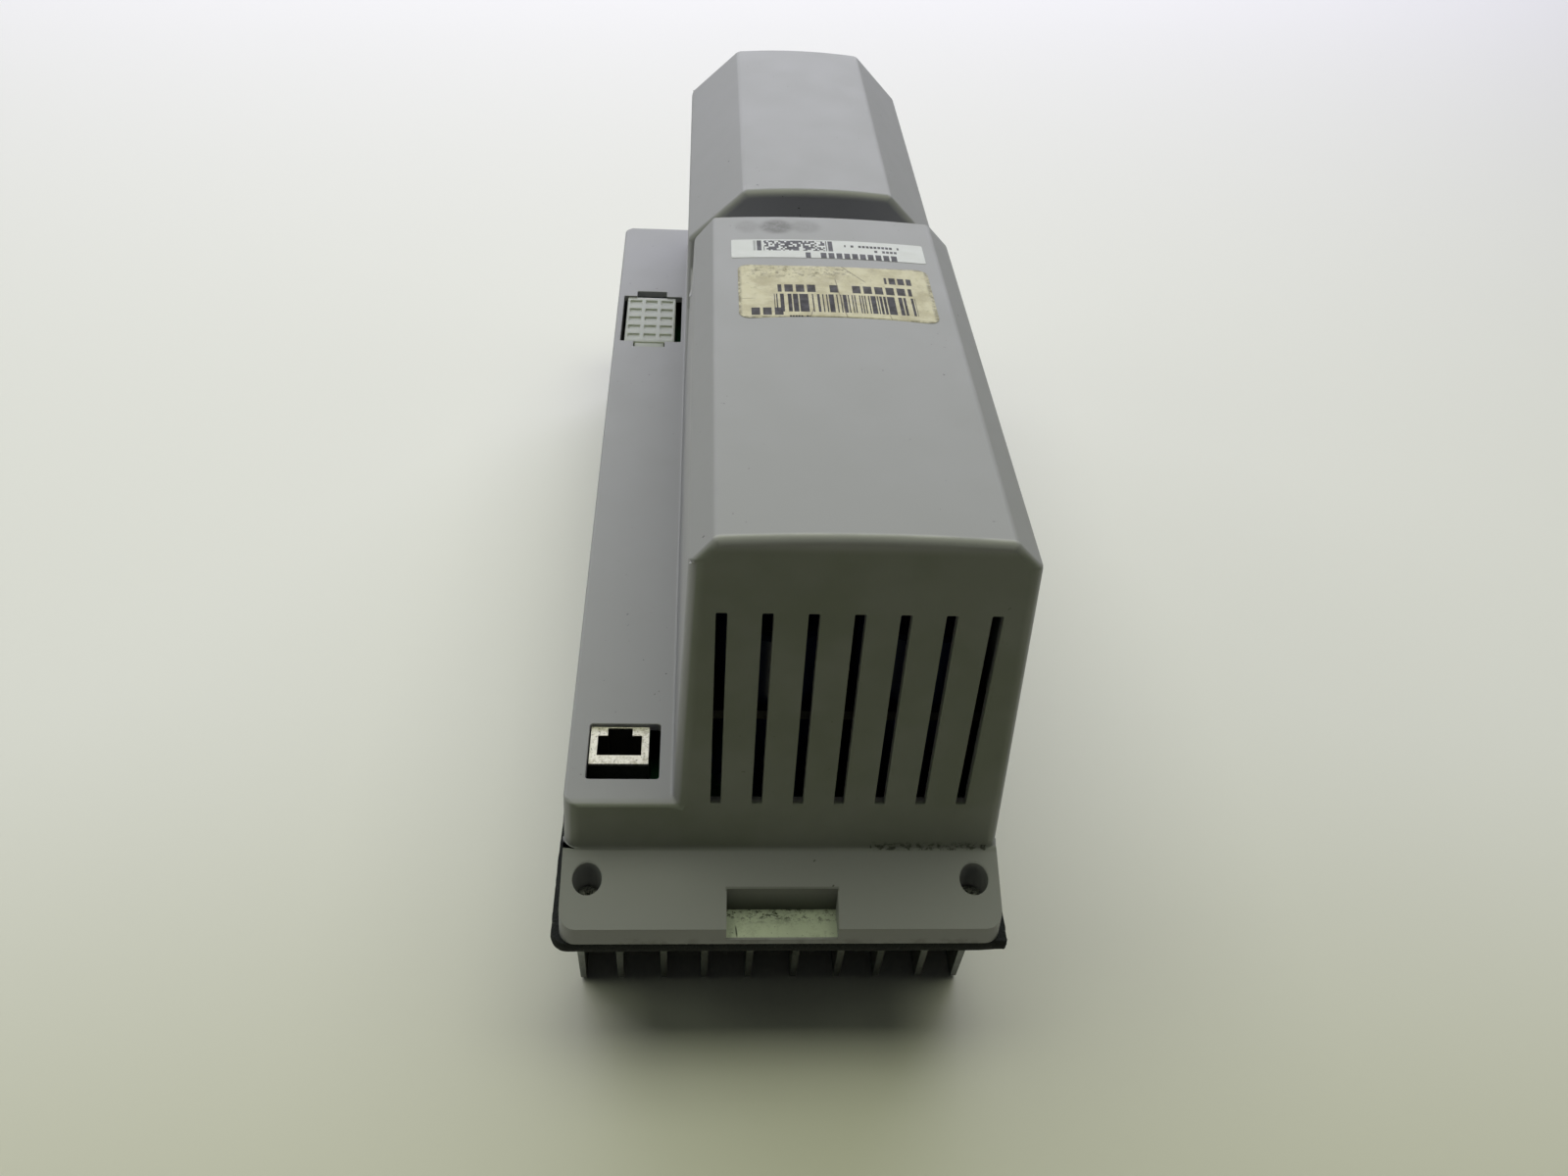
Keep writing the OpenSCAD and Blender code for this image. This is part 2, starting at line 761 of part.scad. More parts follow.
module board_fuses()
    color([0.82, 0.80, 0.74])
    for (y = [-20, -8])
        translate([36, y, board_top + 4])
            rotate([0, 90, 0])
                union() {
                    cylinder(d = 5, h = 20, center = true, $fn = 32);
                    for (s = [-1, 1])
                        translate([0, 0, s * 8]) cylinder(d = 6.3, h = 5, center = true, $fn = 32);
                }

// ---------- labels ----------

// height of the near roof at a distance across it
function roof_z(x) =
    let (eave = z_roof - near_chamfer[1],
         xl = left_x(eave, 0, left_draft) + near_chamfer[0],
         xr = side_x(eave, 0) - near_chamfer[1],
         t = (x - xl) / (xr - xl))
    z_roof + crown * (1 - pow(2 * t - 1, 2));

// a thin sheet on the near roof, bent to its crown
module roof_sheet(x, y, lift, t)
    along_y(concat([for (i = [0 : 8]) let (u = x[0] + i / 8 * (x[1] - x[0])) [u, roof_z(u) + lift]],
        [for (i = [8 : -1 : 0]) let (u = x[0] + i / 8 * (x[1] - x[0])) [u, roof_z(u) + lift + t]]),
        y[0], y[1]);

module code_label()
    color([0.92, 0.93, 0.96])
    roof_sheet(code_label_x, code_label_y, 0.01, 0.12);

module name_label()
    color([0.80, 0.76, 0.60])
    roof_sheet(name_label_x, name_label_y, 0.01, 0.15);

cover_near_foot();
cover_far_foot();
cover_shelf();
cover_near_hump();
cover_far_hump();
heat_sink();
base_gasket();
main_board();
logic_board();
board_socket();
ribbon_cable();
board_standoffs();
board_screws();
cover_screws();
retaining_bushes();
screw_washer(1);  // screw_washer_1
screw_washer(2);  // screw_washer_2
screw_washer(3);  // screw_washer_3
screw_washer(4);  // screw_washer_4
mounting_screw(1);  // mounting_screw_1
mounting_screw(2);  // mounting_screw_2
mounting_screw(3);  // mounting_screw_3
mounting_screw(4);  // mounting_screw_4
jack_shield();
jack_insert();
jack_contacts();
signal_header();
signal_pins();
power_header();
power_pins();
bus_bars();
power_module(1);  // power_module_1
power_module(2);  // power_module_2
power_module(3);  // power_module_3
power_module(4);  // power_module_4
thermal_pads();
module_screws();
capacitor(1);  // capacitor_1
capacitor(2);  // capacitor_2
capacitor(3);  // capacitor_3
capacitor(4);  // capacitor_4
capacitor_clamp();
current_sensor(1);  // current_sensor_1
current_sensor(2);  // current_sensor_2
current_sensor(3);  // current_sensor_3
relay(1);  // relay_1
relay(2);  // relay_2
transformer_core();
transformer_winding();
choke_core();
choke_winding();
choke_saddle();
board_fuses();
code_label();
name_label();
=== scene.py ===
"""Looks for the servo drive: the moulded cover, its sockets and labels, the foam gasket, the finned heat
sink and the captive screws. Lengths are in millimetres until they are multiplied by MM, except those of
the lights, which are in metres."""
import math

import bmesh
import bpy
from mathutils import Matrix, Vector, noise


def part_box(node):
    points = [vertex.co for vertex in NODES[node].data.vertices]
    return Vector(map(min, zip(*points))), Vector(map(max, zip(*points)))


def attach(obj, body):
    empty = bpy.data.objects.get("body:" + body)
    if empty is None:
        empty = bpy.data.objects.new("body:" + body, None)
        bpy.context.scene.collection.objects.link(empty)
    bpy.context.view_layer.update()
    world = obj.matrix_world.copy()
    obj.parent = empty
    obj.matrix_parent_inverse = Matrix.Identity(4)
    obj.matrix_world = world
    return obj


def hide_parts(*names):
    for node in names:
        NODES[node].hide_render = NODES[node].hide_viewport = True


MM = 0.001

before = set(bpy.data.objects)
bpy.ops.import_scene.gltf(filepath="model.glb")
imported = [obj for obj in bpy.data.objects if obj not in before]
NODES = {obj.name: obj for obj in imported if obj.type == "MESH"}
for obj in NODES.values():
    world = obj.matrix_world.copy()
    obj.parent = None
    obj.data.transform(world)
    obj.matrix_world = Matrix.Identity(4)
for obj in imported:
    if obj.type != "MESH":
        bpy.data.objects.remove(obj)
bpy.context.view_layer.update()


def box_mm(node):
    """Lowest and highest corner of a CAD node, in millimetres."""
    low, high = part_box(node)
    return low / MM, high / MM


COVER_NODES = ["cover_near_foot", "cover_far_foot", "cover_shelf", "cover_near_hump", "cover_far_hump"]
COVER_BOXES = [box_mm(node) for node in COVER_NODES]
COVER_LOW = Vector(min(low[i] for low, high in COVER_BOXES) for i in range(3))
COVER_HIGH = Vector(max(high[i] for low, high in COVER_BOXES) for i in range(3))
JACK_HIGH = box_mm("jack_shield")[1]
HEADER_LOW, HEADER_HIGH = box_mm("signal_header")
CODE_LOW, CODE_HIGH = box_mm("code_label")
NAME_LOW, NAME_HIGH = box_mm("name_label")
GASKET_LOW, GASKET_HIGH = box_mm("base_gasket")
RIM_Z = COVER_LOW.z
SHELF_Z = JACK_HIGH.z + 1
SINK_TOP_Z = (50.5, 51.5)
RIM_DARKENING_Z = (50.5, 53.5)
CORNER_DIRT_Z = (67, 69)
NOTCH_DIRT_Y = (-188.5, -183.8)


# ---------- camera, floor and lights ----------

def make_camera():
    """A phone held above the near end and looking down the drive's length, a little turned and rolled."""
    pitch, yaw, roll = 0.6988, 0.0894, 0.0727
    forward = Vector((math.sin(yaw) * math.cos(pitch), math.cos(yaw) * math.cos(pitch), -math.sin(pitch)))
    level = Vector((math.cos(yaw), -math.sin(yaw), 0))
    over = level.cross(forward)
    right = math.cos(roll) * level + math.sin(roll) * over
    up = -math.sin(roll) * level + math.cos(roll) * over
    turn = Matrix((right, up, -forward)).transposed().to_4x4()
    data = bpy.data.cameras.new("camera")
    data.sensor_width = 36
    data.lens = 30.28
    data.clip_start = 0.01
    camera = bpy.data.objects.new("camera", data)
    camera.matrix_world = Matrix.Translation(Vector((-25.02, -400.7, 350.5)) * MM) @ turn
    bpy.context.scene.collection.objects.link(camera)
    bpy.context.scene.camera = camera


def area_light(name, place, target, size, power, color):
    """A rectangular soft light at place that faces target, all in metres."""
    data = bpy.data.lights.new(name, "AREA")
    data.shape = "RECTANGLE"
    data.size, data.size_y = size
    data.energy = power
    data.color = color
    lamp = bpy.data.objects.new(name, data)
    lamp.location = place
    lamp.rotation_euler = (Vector(target) - Vector(place)).to_track_quat("-Z", "Y").to_euler()
    bpy.context.scene.collection.objects.link(lamp)


def make_world(color, strength):
    world = bpy.data.worlds.new("room")
    world.use_nodes = True
    background = world.node_tree.nodes["Background"]
    background.inputs["Color"].default_value = (*color, 1)
    background.inputs["Strength"].default_value = strength
    bpy.context.scene.world = world


def make_lights():
    """Broad light from a window behind the drive, and weaker, yellower light over its near end."""
    for name, place, target, size, power, color in (
        ("window_light", (0.1, 1.6, 0.8), (0, 0.1, 0.1), (2.4, 0.8), 21.5, (0.88, 0.87, 1.0)),
        ("back_light", (0, 0.6, 1.5), (0, 0.1, 0), (1.8, 1.4), 2.2, (1.0, 0.98, 0.92)),
        ("left_light", (-1.2, 1.0, 0.8), (0, 0.1, 0), (1.0, 0.8), 3.8, (0.94, 0.93, 1.0)),
        ("near_light", (0, 0.04, 1.4), (0, 0.0399, 0), (1.7, 0.8), 9.2, (0.95, 1.0, 0.71)),
        ("near_left_light", (-1.0, -0.14, 0.7), (0, -0.14, 0), (0.5, 0.6), 0.9, (0.9, 1.0, 0.7)),
        ("near_right_light", (1.0, -0.14, 0.7), (0, -0.14, 0), (0.5, 0.6), 0.5, (0.9, 1.0, 0.7)),
    ):
        area_light(name, place, target, size, power, color)


def make_floor():
    """A plain pale floor with painted shade that turns it a little yellower and darker towards the camera.
    """
    bm = bmesh.new()
    bmesh.ops.create_grid(bm, x_segments=1, y_segments=1, size=3000)
    paint = Paint("floor", (0.92, 0.91, 0.93), 0.75)
    # painted shade: the floor is painted darker and yellower towards the camera
    paint.paint(paint.ramp("Y", -360, -40, 1, 0), (0.67, 0.66, 0.54))
    mesh = bpy.data.meshes.new("floor")
    bm.to_mesh(mesh)
    bm.free()
    mesh.transform(Matrix.Scale(MM, 4))
    mesh.materials.append(paint.mat)
    floor = bpy.data.objects.new("floor", mesh)
    bpy.context.scene.collection.objects.link(floor)
    return floor


# ---------- materials ----------

class Paint:
    """One procedural material. Its helpers return output sockets, and sizes are in millimetres."""

    def __init__(self, name, color, rough=0.5, metal=0.0, specular=0.5, **inputs):
        self.mat = bpy.data.materials.new(name)
        self.mat.use_nodes = True
        self.tree = self.mat.node_tree
        self.shader = self.tree.nodes["Principled BSDF"]
        self.set("Base Color", (*color, 1))
        self.set("Roughness", rough)
        self.set("Metallic", metal)
        self.set("Specular IOR Level", specular)
        for key, value in inputs.items():
            self.set(key.replace("_", " "), value)
        self.color = (*color, 1)
        self.place = self.node("ShaderNodeTexCoord").outputs["Object"]

    def set(self, socket, value):
        self.shader.inputs[socket].default_value = value

    def node(self, kind, **values):
        made = self.tree.nodes.new(kind)
        for key, value in values.items():
            setattr(made, key, value)
        return made

    def link(self, value, socket):
        """Joins a socket to an input, or stores a plain value in it."""
        if isinstance(value, bpy.types.NodeSocket):
            self.tree.links.new(value, socket)
        else:
            socket.default_value = value

    def math(self, operation, a, b=0.0):
        made = self.node("ShaderNodeMath", operation=operation)
        self.link(a, made.inputs[0])
        self.link(b, made.inputs[1])
        return made.outputs[0]

    def times(self, a, b):
        return self.math("MULTIPLY", a, b)

    def vector(self, operation, a, b=None, output="Vector"):
        made = self.node("ShaderNodeVectorMath", operation=operation)
        self.link(a, made.inputs[0])
        if b is not None:
            made.inputs[1].default_value = b
        return made.outputs[output]

    def stretched(self, stretch):
        made = self.node("ShaderNodeMapping")
        self.link(self.place, made.inputs["Vector"])
        made.inputs["Scale"].default_value = stretch
        return made.outputs[0]

    def noise(self, size, detail=3.0, rough=0.5, stretch=(1, 1, 1), seed=0.0):
        made = self.node("ShaderNodeTexNoise", noise_dimensions="4D")
        self.link(self.stretched(stretch), made.inputs["Vector"])
        made.inputs["W"].default_value = seed
        made.inputs["Scale"].default_value = 1 / (size * MM)
        made.inputs["Detail"].default_value = detail
        made.inputs["Roughness"].default_value = rough
        return made.outputs["Fac"]

    def cells(self, size):
        made = self.node("ShaderNodeTexVoronoi")
        self.link(self.stretched((1, 1, 1)), made.inputs["Vector"])
        made.inputs["Scale"].default_value = 1 / (size * MM)
        return made.outputs["Distance"]

    def span(self, value, low, high, to_low=0.0, to_high=1.0):
        """Maps low..high to to_low..to_high, clamped and smooth."""
        made = self.node("ShaderNodeMapRange", interpolation_type="SMOOTHSTEP")
        self.link(value, made.inputs["Value"])
        made.inputs["From Min"].default_value = low
        made.inputs["From Max"].default_value = high
        made.inputs["To Min"].default_value = to_low
        made.inputs["To Max"].default_value = to_high
        return made.outputs["Result"]

    def mix(self, share, a, b):
        made = self.node("ShaderNodeMix", data_type="RGBA")
        self.link(share, made.inputs["Factor"])
        self.link(a, made.inputs["A"])
        self.link(b, made.inputs["B"])
        return made.outputs["Result"]

    def spot(self, centre, radii, soft):
        """1 inside an ellipsoid round centre and 0 outside it, with a soft edge."""
        shift = self.vector("SUBTRACT", self.place, Vector(centre) * MM)
        scaled = self.vector("DIVIDE", shift, Vector(radii) * MM)
        length = self.vector("LENGTH", scaled, output="Value")
        return self.span(length, 1 - soft, 1 + soft, 1, 0)

    def axis(self, letter):
        """The place along one axis, in metres."""
        made = self.node("ShaderNodeSeparateXYZ")
        self.link(self.place, made.inputs[0])
        return made.outputs[letter]

    def ramp(self, letter, low, high, to_low=0.0, to_high=1.0):
        """Maps low..high, in millimetres along one axis, to to_low..to_high."""
        return self.span(self.axis(letter), low * MM, high * MM, to_low, to_high)

    def between(self, value, low, high, soft=0.05):
        """1 where a place in metres lies between two millimetre values."""
        rise = self.span(value, (low - soft) * MM, (low + soft) * MM)
        fall = self.span(value, (high - soft) * MM, (high + soft) * MM, 1, 0)
        return self.times(rise, fall)

    def patch(self, x, y, soft=0.05):
        """1 inside a rectangle seen from above."""
        across = self.between(self.axis("X"), *x, soft)
        along = self.between(self.axis("Y"), *y, soft)
        return self.times(across, along)

    def blocks(self, size, share, seed):
        """Random squares on a grid seen from above: 1 on about a share of them."""
        snapped = self.vector("SNAP", self.place, (size[0] * MM, size[1] * MM, 1.0))
        made = self.node("ShaderNodeTexWhiteNoise", noise_dimensions="4D")
        self.link(snapped, made.inputs["Vector"])
        made.inputs["W"].default_value = seed
        return self.math("LESS_THAN", made.outputs["Value"], share)

    def stroke(self, a, b, width):
        """1 along a straight line between two points seen from above."""
        a, b = Vector(a), Vector(b)
        way = (b - a).normalized()
        middle = (a + b) / 2
        shift = self.vector("SUBTRACT", self.place, (middle.x * MM, middle.y * MM, 0))
        along = self.vector("DOT_PRODUCT", shift, (way.x, way.y, 0), "Value")
        across = self.vector("DOT_PRODUCT", shift, (-way.y, way.x, 0), "Value")
        half = (b - a).length / 2
        inside = self.between(along, -half, half, 0.8)
        return self.times(inside, self.between(across, -width / 2, width / 2, width * 0.6))

    def paint(self, share, color):
        """Lays a colour over what the material has so far."""
        current = self.shader.inputs["Base Color"]
        below = current.links[0].from_socket if current.is_linked else self.color
        self.link(self.mix(share, below, (*color, 1)), current)

    def roughness(self, value):
        self.link(value, self.shader.inputs["Roughness"])

    def bump(self, height, depth):
        """Adds relief: height is a 0..1 socket and depth its size."""
        made = self.node("ShaderNodeBump")
        made.inputs["Strength"].default_value = 1.0
        made.inputs["Distance"].default_value = depth * MM
        self.link(height, made.inputs["Height"])
        normal = self.shader.inputs["Normal"]
        if normal.is_linked:
            self.link(normal.links[0].from_socket, made.inputs["Normal"])
        self.link(made.outputs[0], normal)


def moulded_plastic(name, color, rough):
    """Plain moulded plastic with a fine grain, cloudy tone and faint dust."""
    p = Paint(name, color, rough)
    p.paint(p.span(p.noise(28, 4), 0.35, 0.75, 0, 0.12), tuple(c * 0.55 for c in color))
    p.paint(p.span(p.noise(0.8, 2), 0.62, 0.75, 0, 0.24), tuple(c * 0.6 for c in color))
    p.roughness(p.span(p.noise(9, 4), 0.3, 0.75, rough * 0.85, min(1, rough * 1.15)))
    p.bump(p.noise(0.35, 3), 0.02)
    return p.mat


def bare_metal(name, color, rough, stretch=(1, 1, 1)):
    """Metal with drawn or turned marks, stains and small pits."""
    p = Paint(name, color, rough, 1.0)
    marks = p.noise(0.6, 5, 0.6, stretch)
    p.paint(p.span(p.noise(7, 5, 0.6), 0.5, 0.8, 0, 0.3), tuple(c * 0.45 for c in color))
    p.paint(p.span(p.noise(0.7, 3), 0.64, 0.74, 0, 0.3), tuple(c * 0.3 for c in color))
    p.roughness(p.span(marks, 0.3, 0.7, rough * 0.7, min(1, rough * 1.5)))
    p.bump(marks, 0.015)
    return p.mat


def cover_plastic():
    """Light grey moulded plastic of the cover: fine texture, handling marks, specks, painted shade on the
    near wall and in the notches, and a painted highlight along the near top edge.
    """
    p = Paint("cover_plastic", (0.340, 0.340, 0.376), 0.48)
    p.paint(p.span(p.noise(60, 4, 0.55, seed=1), 0.35, 0.75, 0, 0.10), (0.29, 0.29, 0.30))
    p.paint(p.span(p.noise(22, 5, 0.6, seed=2), 0.55, 0.8, 0, 0.10), (0.24, 0.24, 0.24))
    specks = p.span(p.noise(1.3, 1, 0.3, seed=5), 0.76, 0.80)
    specked = p.span(p.noise(26, 2, seed=6), 0.45, 0.65)
    p.paint(p.times(p.times(specks, specked), 0.75), (0.05, 0.05, 0.05))
    rubs = p.span(p.noise(2.2, 5, 0.75, (1, 0.16, 1), seed=8), 0.64, 0.74)
    rubbed = p.span(p.noise(38, 2, seed=9), 0.52, 0.66)
    p.paint(p.times(p.times(rubs, rubbed), 0.30), (0.62, 0.62, 0.64))
    near_wall_shade_and_highlight(p)
    roof_stains(p)
    foot_dirt_and_shade(p)
    p.roughness(p.span(p.noise(14, 5, 0.6, seed=4), 0.3, 0.7, 0.49, 0.54))
    p.bump(p.noise(0.45, 2, 0.5, seed=7), 0.016)
    return p.mat


def near_wall_shade_and_highlight(p):
    """Painted shade all over the near wall, darker and greener, and a painted highlight along its top edge.
    """
    upright = p.math("SUBTRACT", p.axis("Y"), p.times(p.axis("Z"), END_DRAFT))
    wall = -WALL_Y - END_DRAFT * WALL_Z
    across = p.between(upright, wall - 0.9, wall + 0.9, 0.4)
    painted_wall_shade = p.times(across, p.between(p.axis("Z"), WALL_Z, ROOF_Z - 2, 1.5))
    # painted shade: the near wall is painted darker and greener, mottled by noise
    p.paint(p.times(painted_wall_shade, p.span(p.noise(30, 3, seed=15), 0.3, 0.7, 0.55, 0.85)), (0.17, 0.19, 0.15))
    # painted highlight: a lighter line along the near roof's top edge
    edge_y = END_DRAFT * (ROOF_Z - WALL_Z) + 2.0 - WALL_Y
    wear_and_highlight = p.times(p.between(p.axis("Y"), edge_y - 0.5, edge_y + 0.3, 0.3), p.ramp("Z", ROOF_Z - 1, ROOF_Z))
    p.paint(p.times(wear_and_highlight, p.span(p.noise(12, 3, seed=16), 0.3, 0.6, 0.25, 0.75)), (0.50, 0.50, 0.52))


def roof_stains(p):
    """Three rubbed round stains at the far end of the near roof."""
    for x, y, radius_x, radius_y, share in (
        (-0.9, -10.9, 4.9, 4.6, 0.85),
        (-9.9, -10.8, 3.6, 4.2, 0.30),
        (8.3, -10.6, 4.6, 4.2, 0.36),
    ):
        spot = p.spot((x, y, COVER_HIGH.z), (radius_x, radius_y, 6), 0.35)
        mottled = p.times(spot, p.span(p.noise(1.6, 4, 0.7, seed=12), 0.30, 0.60, 0.55, 1))
        p.paint(p.times(mottled, share), (0.10, 0.10, 0.09))


def foot_dirt_and_shade(p):
    """Painted shade in both notches, darkening in patches towards the foot's rim, and dirt in the corner
    where the foot meets the near wall.
    """
    for sign in (-1, 1):
        back = sign * (END_Y - NOTCH_DEPTH)
        # painted shade: the back wall of each notch is painted dark, most at the bottom
        painted_notch_shade = p.patch((-NOTCH_X - 0.3, NOTCH_X + 0.3), (back - 0.5, back + 0.5), 0.2)
        p.paint(p.times(painted_notch_shade, p.ramp("Z", PLATE_Z, PLATE_Z + 9, 0.95, 0.45)), (0.075, 0.08, 0.06))
    # darker in patches towards the foot's lower rim
    rim = p.times(p.ramp("Z", *RIM_DARKENING_Z, 1, 0), p.span(p.noise(5, 4, 0.6, seed=3), 0.45, 0.65))
    p.paint(p.times(rim, 0.35), (0.06, 0.06, 0.055))
    corner = p.patch((24, 56), (-WALL_Y - 0.5, -WALL_Y + 0.3), 0.25)
    corner = p.times(corner, p.ramp("Z", *CORNER_DIRT_Z, 1, 0))
    crumbs = p.span(p.noise(1.6, 5, 0.75, seed=17), 0.46, 0.58, 0, 0.85)
    p.paint(p.times(corner, crumbs), (0.03, 0.03, 0.025))


def sink_aluminium():
    """Extruded aluminium gone dull and dirty, with lines along the extrusion and painted light on its top
    face.
    """
    p = Paint("sink_aluminium", (0.30, 0.31, 0.30), 0.5, 0.85)
    p.paint(p.span(p.noise(9, 5, 0.6, (1, 0.12, 1)), 0.45, 0.75, 0, 0.7), (0.13, 0.14, 0.13))
    p.paint(p.span(p.noise(2.5, 4, 0.7), 0.56, 0.72, 0, 0.6), (0.07, 0.075, 0.07))
    p.roughness(p.span(p.noise(4, 5, 0.6), 0.3, 0.7, 0.42, 0.68))
    p.bump(p.noise(0.7, 4, 0.6, (1, 0.02, 1)), 0.05)
    p.bump(p.noise(0.5, 4, 0.7), 0.03)
    top = p.ramp("Z", *SINK_TOP_Z)
    # painted light: the plate's top face is painted much lighter and greener than its sides
    p.paint(top, (0.74, 0.80, 0.69))
    p.paint(p.times(top, p.span(p.noise(3.2, 5, 0.7, seed=1), 0.50, 0.72, 0, 0.55)), (0.42, 0.47, 0.38))
    p.paint(p.times(top, p.span(p.noise(1.0, 5, 0.75, seed=2), 0.60, 0.66, 0, 0.9)), (0.05, 0.06, 0.05))
    back = p.ramp("Y", *NOTCH_DIRT_Y)
    crumbs = p.span(p.noise(1.1, 5, 0.75, (0.7, 1, 1), seed=5), 0.50, 0.60)
    p.paint(p.times(top, p.times(back, crumbs)), (0.03, 0.04, 0.03))
    scratch = p.stroke((-12.1, -191.6), (-12.4, -188.4), 0.35)
    p.paint(p.times(top, scratch), (0.06, 0.08, 0.06))
    return p.mat


def foam_rubber():
    """Closed-cell foam: near black, open pores where it is cut, grey dust."""
    p = Paint("gasket_foam", (0.022, 0.024, 0.026), 0.9, 0.0, 0.25)
    p.paint(p.span(p.noise(6, 4), 0.5, 0.8, 0, 0.5), (0.055, 0.058, 0.06))
    p.paint(p.span(p.noise(0.9, 3, seed=3), 0.66, 0.75, 0, 0.5), (0.16, 0.165, 0.16))
    p.bump(p.cells(0.55), 0.22)
    p.bump(p.noise(2.4, 4), 0.25)
    return p.mat


def natural_nylon():
    """Uncoloured nylon: milky, a little see-through and faintly green, painted lighter low down as painted
    light in the chambers.
    """
    p = Paint("nylon_natural", (0.385, 0.405, 0.375), 0.42, Subsurface_Weight=0.85, Subsurface_Scale=0.006)
    p.set("Subsurface Radius", (1.0, 1.0, 0.85))
    p.paint(p.span(p.noise(7, 3), 0.4, 0.75, 0, 0.35), (0.36, 0.385, 0.345))
    p.paint(p.span(p.noise(1.2, 3, seed=2), 0.62, 0.74, 0, 0.35), (0.25, 0.26, 0.23))
    # painted light: the chambers' lower walls and floors are painted lighter, lifting the shade in them
    chamber_painted_light = p.ramp("Z", HEADER_HIGH.z - 1.6, HEADER_HIGH.z - 0.2, 0.6, 0)
    p.paint(chamber_painted_light, (0.44, 0.47, 0.42))
    p.bump(p.noise(0.8, 3), 0.03)
    return p.mat


def shield_tin():
    """Tin-plated sheet: bright, mottled with corrosion, its sides painted near black as painted shade."""
    p = Paint("shield_tin", (0.86, 0.84, 0.76), 0.42, 0.8)
    p.paint(p.span(p.noise(1.5, 5, 0.75), 0.46, 0.62, 0, 0.8), (0.46, 0.43, 0.34))
    p.paint(p.span(p.noise(0.55, 4, 0.7, seed=2), 0.56, 0.66, 0, 0.9), (0.13, 0.12, 0.10))
    # painted shade: below its top the shield is painted near black
    sides = p.ramp("Z", JACK_HIGH.z - 0.9, JACK_HIGH.z - 0.35, 0.93, 0)
    p.paint(sides, (0.03, 0.032, 0.03))
    p.roughness(p.span(p.noise(0.9, 4, 0.6), 0.3, 0.7, 0.30, 0.62))
    p.bump(p.noise(0.35, 4, 0.7), 0.06)
    return p.mat


# ---------- mesh helpers ----------

def add_piece(name, bm, material, body="root", replaces=(), smooth=30.0):
    """Turns a bmesh in millimetres into a piece that rides on a body."""
    mesh = bpy.data.meshes.new(name)
    bmesh.ops.recalc_face_normals(bm, faces=bm.faces)
    bm.to_mesh(mesh)
    bm.free()
    mesh.transform(Matrix.Scale(MM, 4))
    for face in mesh.polygons:
        face.use_smooth = True
    mesh.set_sharp_from_angle(angle=math.radians(smooth))
    piece = bpy.data.objects.new(name, mesh)
    bpy.context.scene.collection.objects.link(piece)
    mesh.materials.append(material)
    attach(piece, body)
    if replaces:
        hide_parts(*replaces)
    return piece


def holder(bm):
    """A throwaway object that holds a bmesh, for modifiers to work on. Its units are metres."""
    mesh = bpy.data.meshes.new("work")
    bmesh.ops.recalc_face_normals(bm, faces=bm.faces)
    bmesh.ops.transform(bm, matrix=Matrix.Scale(MM, 4), verts=bm.verts)
    bm.to_mesh(mesh)
    bm.free()
    made = bpy.data.objects.new("work", mesh)
    bpy.context.scene.collection.objects.link(made)
    return made


def baked(thing, *others):
    """The modified mesh of a holder as a bmesh in millimetres; the holder and the others are removed."""
    graph = bpy.context.evaluated_depsgraph_get()
    evaluated = thing.evaluated_get(graph)
    bm = bmesh.new()
    bm.from_mesh(evaluated.to_mesh())
    evaluated.to_mesh_clear()
    for used in (thing, *others):
        bpy.data.objects.remove(used)
    bmesh.ops.transform(bm, matrix=Matrix.Scale(1 / MM, 4), verts=bm.verts)
    return bm


def combine(operation, first, *others):
    """Boolean of closed bmeshes in millimetres, UNION or DIFFERENCE."""
    base = holder(first)
    tools = [holder(bm) for bm in others]
    for tool in tools:
        step = base.modifiers.new(operation.lower(), "BOOLEAN")
        step.operation = operation
        step.solver = "MANIFOLD"
        step.object = tool
    return baked(base, *tools)


def joined(*meshes):
    """Several bmeshes as one, with nothing merged."""
    whole = bmesh.new()
    for bm in meshes:
        part = bpy.data.meshes.new("part")
        bm.to_mesh(part)
        bm.free()
        whole.from_mesh(part)
        bpy.data.meshes.remove(part)
    return whole


def block(x, y, z):
    bm = bmesh.new()
    bmesh.ops.create_cube(bm, size=1)
    size = Vector((x[1] - x[0], y[1] - y[0], z[1] - z[0]))
    middle = Vector((x[0] + x[1], y[0] + y[1], z[0] + z[1])) / 2
    for v in bm.verts:
        v.co = middle + Vector(a * b for a, b in zip(v.co, size))
    return bm


def post(x, y, z, radius):
    bm = bmesh.new()
    bmesh.ops.create_cone(
        bm, cap_ends=True, segments=48, radius1=radius, radius2=radius, depth=z[1] - z[0],
        matrix=Matrix.Translation((x, y, (z[0] + z[1]) / 2)),
    )
    return bm


def carved(planes, inset):
    """The convex solid behind a list of (point, outward normal) planes, each moved in by inset."""
    bm = bmesh.new()
    larger_than_the_drive = 480
    bmesh.ops.create_cube(bm, size=larger_than_the_drive)
    for point, normal in planes:
        normal = Vector(normal).normalized()
        parts = bm.verts[:] + bm.edges[:] + bm.faces[:]
        start = Vector(point) - normal * inset
        cut = bmesh.ops.bisect_plane(
            bm, geom=parts, dist=1e-5, plane_co=start, plane_no=normal, clear_outer=True
        )
        rim = [e for e in cut["geom_cut"] if isinstance(e, bmesh.types.BMEdge) and e.is_boundary]
        if rim:
            bmesh.ops.edgenet_fill(bm, edges=rim)
    return bm


def lofted(loops):
    """A closed solid through loops of the same number of points, with flat ends."""
    bm = bmesh.new()
    rings = [[bm.verts.new(co) for co in loop] for loop in loops]
    count = len(rings[0])
    for low, high in zip(rings, rings[1:]):
        for i in range(count):
            j = (i + 1) % count
            bm.faces.new((low[i], low[j], high[j], high[i]))
    bm.faces.new(rings[0][::-1])
    bm.faces.new(rings[-1])
    return bm


